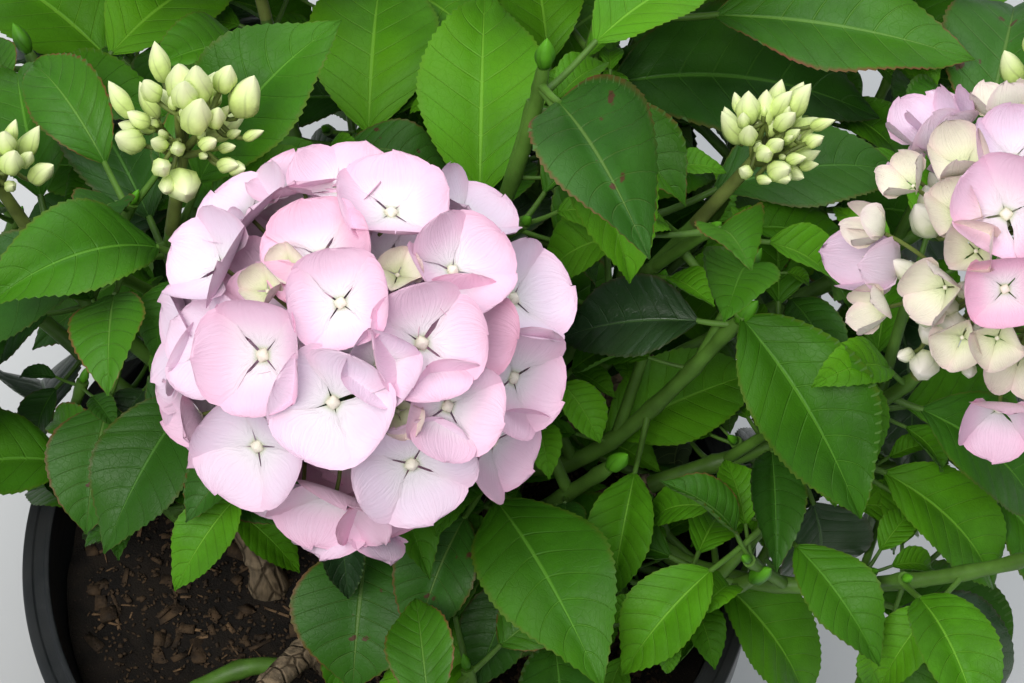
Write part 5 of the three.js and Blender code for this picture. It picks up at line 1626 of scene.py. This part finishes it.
def bud_cluster(part, dice, buds, stalks, number, lowest, low, high, big):
    """Closed buds of mixed sizes from the forks of a head out to low or high on its radius."""
    way = spread_ways(number, lowest, part.turn, part.top)
    way = unit(way + dice.normal(0, 0.18, way.shape))
    reach = sizes().bud_length * MM_PER_M * (0.5 + 0.75 * dice.uniform(0, 1, number) ** 0.8) * big
    end = part.radius * dice.uniform(low, high, number)
    face = unit(way * 0.7 + part.top * 0.5 + dice.normal(0, 0.12, way.shape))
    base = part.centre + way * end[:, None] - face * reach[:, None] * 0.8
    radius = reach * dice.uniform(0.22, 0.34, number)
    add_spindles(buds, base, face, reach, radius, around=12, rings=11, seam=0.1)
    add_pedicels(part, stalks, base + face * 0.8, way, face, thick=0.9)


def make_bud_heads():
    """The closed heads: pointed yellow-green buds on branching olive stalks."""
    buds, stalks = Gathered(), Gathered()
    for part in headed("bud"):
        dice = np.random.default_rng(BUD_HEAD_SEED + part.index)
        add_branches(part, stalks)
        bud_cluster(part, dice, buds, stalks, sizes().buds, lowest=-0.2, low=0.72, high=1.1,
                    big=part.size)
        bud_cluster(part, dice, buds, stalks, INNER_BUDS, lowest=0.0, low=0.35, high=0.72,
                    big=0.55 * part.size)
    nodes, hue = node_names("bud_head_"), colours()
    green = plain_plant_material("bud_green", scaled(hue.bud, 0.82), scaled(hue.bud, 1.1),
                                 (0.46, 0.58, 0.16), (160.0, 900.0, 0.1), 0.48, 0.12,
                                 (0.76, 0.80, 0.46))
    add_piece("closed_buds", buds, green, nodes)
    add_piece("bud_stalks", stalks, stalk_material(), nodes)


def make_half_head():
    """The half-open head: open florets to one side, cupped young ones and buds between."""
    florets = {name: Gathered() for name in PETAL_FINISHES}
    hearts, stalks, buds = Gathered(), Gathered(), Gathered()
    part = headed("half")[0]
    dice = np.random.default_rng(HALF_HEAD_SEED)
    add_branches(part, stalks)
    fixed = set_florets(part, dice)
    add_florets(part, fixed, dice, florets, hearts, stalks)
    way = spread_ways(HALF_HEAD_FLORETS, -0.35, part.turn, part.top)
    way = unit(way + dice.normal(0, 0.07, way.shape))
    way = way[(way @ fixed[0].T).max(1) < np.cos(np.radians(HALF_HEAD_SPACE))]
    count = len(way)
    face = unit(way + dice.normal(0, 0.2, way.shape))
    openness = np.clip(0.5 + 0.5 * way[:, 0] + 0.25 * way[:, 1] + dice.normal(0, 0.2, count), 0, 1)
    finish = np.select([openness < 0.5, openness < 0.8], [CREAM, PALE], PINK)
    dealt = (way, face, dice.uniform(0.66, 0.9, count), 10 + 9.5 * openness, 1.25 - 0.75 * openness,
             dice.uniform(0, 2 * np.pi, count), finish)
    add_florets(part, dealt, dice, florets, hearts, stalks)
    bud_cluster(part, dice, buds, stalks, HALF_HEAD_BUDS, lowest=-0.35, low=0.64, high=0.9,
                big=0.92)
    nodes = node_names("half_head_")
    for name, material in petal_materials("young_petal").items():
        add_piece(f"young_florets_{name}", florets[name], material, nodes)
    young = plain_plant_material("young_bud", (0.58, 0.64, 0.34), (0.80, 0.80, 0.60),
                                 (0.5, 0.6, 0.25), (160.0, 900.0, 0.1), 0.5, 0.12,
                                 (0.86, 0.80, 0.72))
    add_piece("young_buds", buds, young, nodes)
    add_piece("young_hearts", hearts, young, nodes)
    add_piece("half_head_stalks", stalks, stalk_material(), nodes)


# Stage

def add_light(name, place, aim, size, power, tint):
    """A square soft light that looks from a place to a point, all in metres."""
    data = bpy.data.lights.new(name, "AREA")
    data.size, data.energy, data.color = size, power, tint
    light = bpy.data.objects.new(name, data)
    light.location = place
    way = np.array(aim) - place
    light.rotation_euler = (np.arctan2(np.hypot(way[0], way[1]), -way[2]), 0,
                            np.arctan2(way[1], way[0]) - np.pi / 2)
    bpy.context.scene.collection.objects.link(light)


def make_stage():
    """Pale floor, soft light from above, and the camera at the photograph's angle."""
    scene = bpy.context.scene
    gathered = Gathered()
    side = np.linspace(-6000, 6000, 13)
    x, y = np.meshgrid(side, side)
    gathered.add_grids(np.stack([x, y, 0 * x - 0.4], -1)[None])
    material, n, shader = new_material("floor_plain", 0.2)
    shader.inputs["Roughness"].default_value = 0.9
    base = tuple(colours().floor)
    cloud = n.noise(n.place(), 1.5, 3.0)
    n.set(shader.inputs["Base Color"], n.mix(cloud, scaled(base, 0.96), scaled(base, 1.04)))
    floor = bpy.data.objects.new("floor", gathered.mesh("floor"))
    floor.data.materials.append(material)
    scene.collection.objects.link(floor)
    world = bpy.data.worlds.new("studio")
    world.use_nodes = True
    sky = world.node_tree.nodes["Background"].inputs
    sky["Color"].default_value, sky["Strength"].default_value = (0.86, 0.92, 1.0, 1), 0.5
    scene.world = world
    add_light("key", (-0.5, -0.9, 2.0), (0, 0, 0.4), 1.1, 31, (1.0, 0.98, 0.95))
    add_light("top", (0.5, 0.9, 2.3), (0, 0, 0.4), 1.6, 26, (0.95, 0.98, 1.0))
    camera = bpy.data.objects.new("camera", bpy.data.cameras.new("camera"))
    camera.data.lens, camera.data.sensor_width = CAMERA_LENS, CAMERA_SENSOR
    camera.data.clip_start, camera.data.clip_end = 0.05, 50
    camera.location = CAMERA_PLACE
    camera.rotation_euler = (np.radians(CAMERA_TILT), 0, 0)
    scene.collection.objects.link(camera)
    scene.camera = camera
    scene.view_settings.view_transform = "Standard"


# Operators and panel

class HYDRANGEA_OT_pot(bpy.types.Operator):
    """Makes the moulded pot"""
    bl_idname = "hydrangea.pot"
    bl_label = "Pot"

    def execute(self, context):
        make_pot()
        return {"FINISHED"}


class HYDRANGEA_OT_compost(bpy.types.Operator):
    """Makes the compost with its chips and slivers"""
    bl_idname = "hydrangea.compost"
    bl_label = "Compost"

    def execute(self, context):
        make_compost()
        return {"FINISHED"}


class HYDRANGEA_OT_canes(bpy.types.Operator):
    """Makes the woody canes"""
    bl_idname = "hydrangea.canes"
    bl_label = "Canes"

    def execute(self, context):
        make_canes()
        return {"FINISHED"}


class HYDRANGEA_OT_stems(bpy.types.Operator):
    """Makes the green stems, twigs, petioles and leaf buds"""
    bl_idname = "hydrangea.stems"
    bl_label = "Stems"

    def execute(self, context):
        make_stems()
        return {"FINISHED"}


class HYDRANGEA_OT_leaves(bpy.types.Operator):
    """Makes the toothed leaves"""
    bl_idname = "hydrangea.leaves"
    bl_label = "Leaves"

    def execute(self, context):
        make_leaves()
        return {"FINISHED"}


class HYDRANGEA_OT_mopheads(bpy.types.Operator):
    """Makes the open flower heads"""
    bl_idname = "hydrangea.mopheads"
    bl_label = "Open heads"

    def execute(self, context):
        make_mopheads()
        return {"FINISHED"}


class HYDRANGEA_OT_bud_heads(bpy.types.Operator):
    """Makes the heads of closed buds"""
    bl_idname = "hydrangea.bud_heads"
    bl_label = "Closed heads"

    def execute(self, context):
        make_bud_heads()
        return {"FINISHED"}


class HYDRANGEA_OT_half_head(bpy.types.Operator):
    """Makes the half-open flower head"""
    bl_idname = "hydrangea.half_head"
    bl_label = "Half-open head"

    def execute(self, context):
        make_half_head()
        return {"FINISHED"}


class HYDRANGEA_OT_stage(bpy.types.Operator):
    """Makes the floor, the lights and the camera"""
    bl_idname = "hydrangea.stage"
    bl_label = "Stage"

    def execute(self, context):
        make_stage()
        return {"FINISHED"}


OPERATORS = [HYDRANGEA_OT_pot, HYDRANGEA_OT_compost, HYDRANGEA_OT_canes, HYDRANGEA_OT_stems,
             HYDRANGEA_OT_leaves, HYDRANGEA_OT_mopheads, HYDRANGEA_OT_bud_heads,
             HYDRANGEA_OT_half_head, HYDRANGEA_OT_stage]


class HYDRANGEA_PT_panel(bpy.types.Panel):
    """Lists the plant's operators, sizes and colours."""
    bl_label = "Hydrangea"
    bl_space_type = "VIEW_3D"
    bl_region_type = "UI"
    bl_category = "Hydrangea"

    def draw(self, context):
        for made in OPERATORS:
            self.layout.operator(made.bl_idname)
        for group in (context.scene.hydrangea_sizes, context.scene.hydrangea_colours):
            for name in group.bl_rna.properties.keys():
                if name not in ("rna_type", "name"):
                    self.layout.prop(group, name)


CLASSES = [HydrangeaSizes, HydrangeaColours, *OPERATORS, HYDRANGEA_PT_panel]


def register():
    for made in CLASSES:
        bpy.utils.register_class(made)
    bpy.types.Scene.hydrangea_sizes = PointerProperty(type=HydrangeaSizes)
    bpy.types.Scene.hydrangea_colours = PointerProperty(type=HydrangeaColours)


def unregister():
    del bpy.types.Scene.hydrangea_sizes
    del bpy.types.Scene.hydrangea_colours
    for made in reversed(CLASSES):
        bpy.utils.unregister_class(made)


def main():
    register()
    bpy.ops.hydrangea.pot()
    bpy.ops.hydrangea.compost()
    bpy.ops.hydrangea.canes()
    bpy.ops.hydrangea.stems()
    bpy.ops.hydrangea.leaves()
    bpy.ops.hydrangea.mopheads()
    bpy.ops.hydrangea.bud_heads()
    bpy.ops.hydrangea.half_head()
    bpy.ops.hydrangea.stage()


if __name__ == "__main__":
    main()
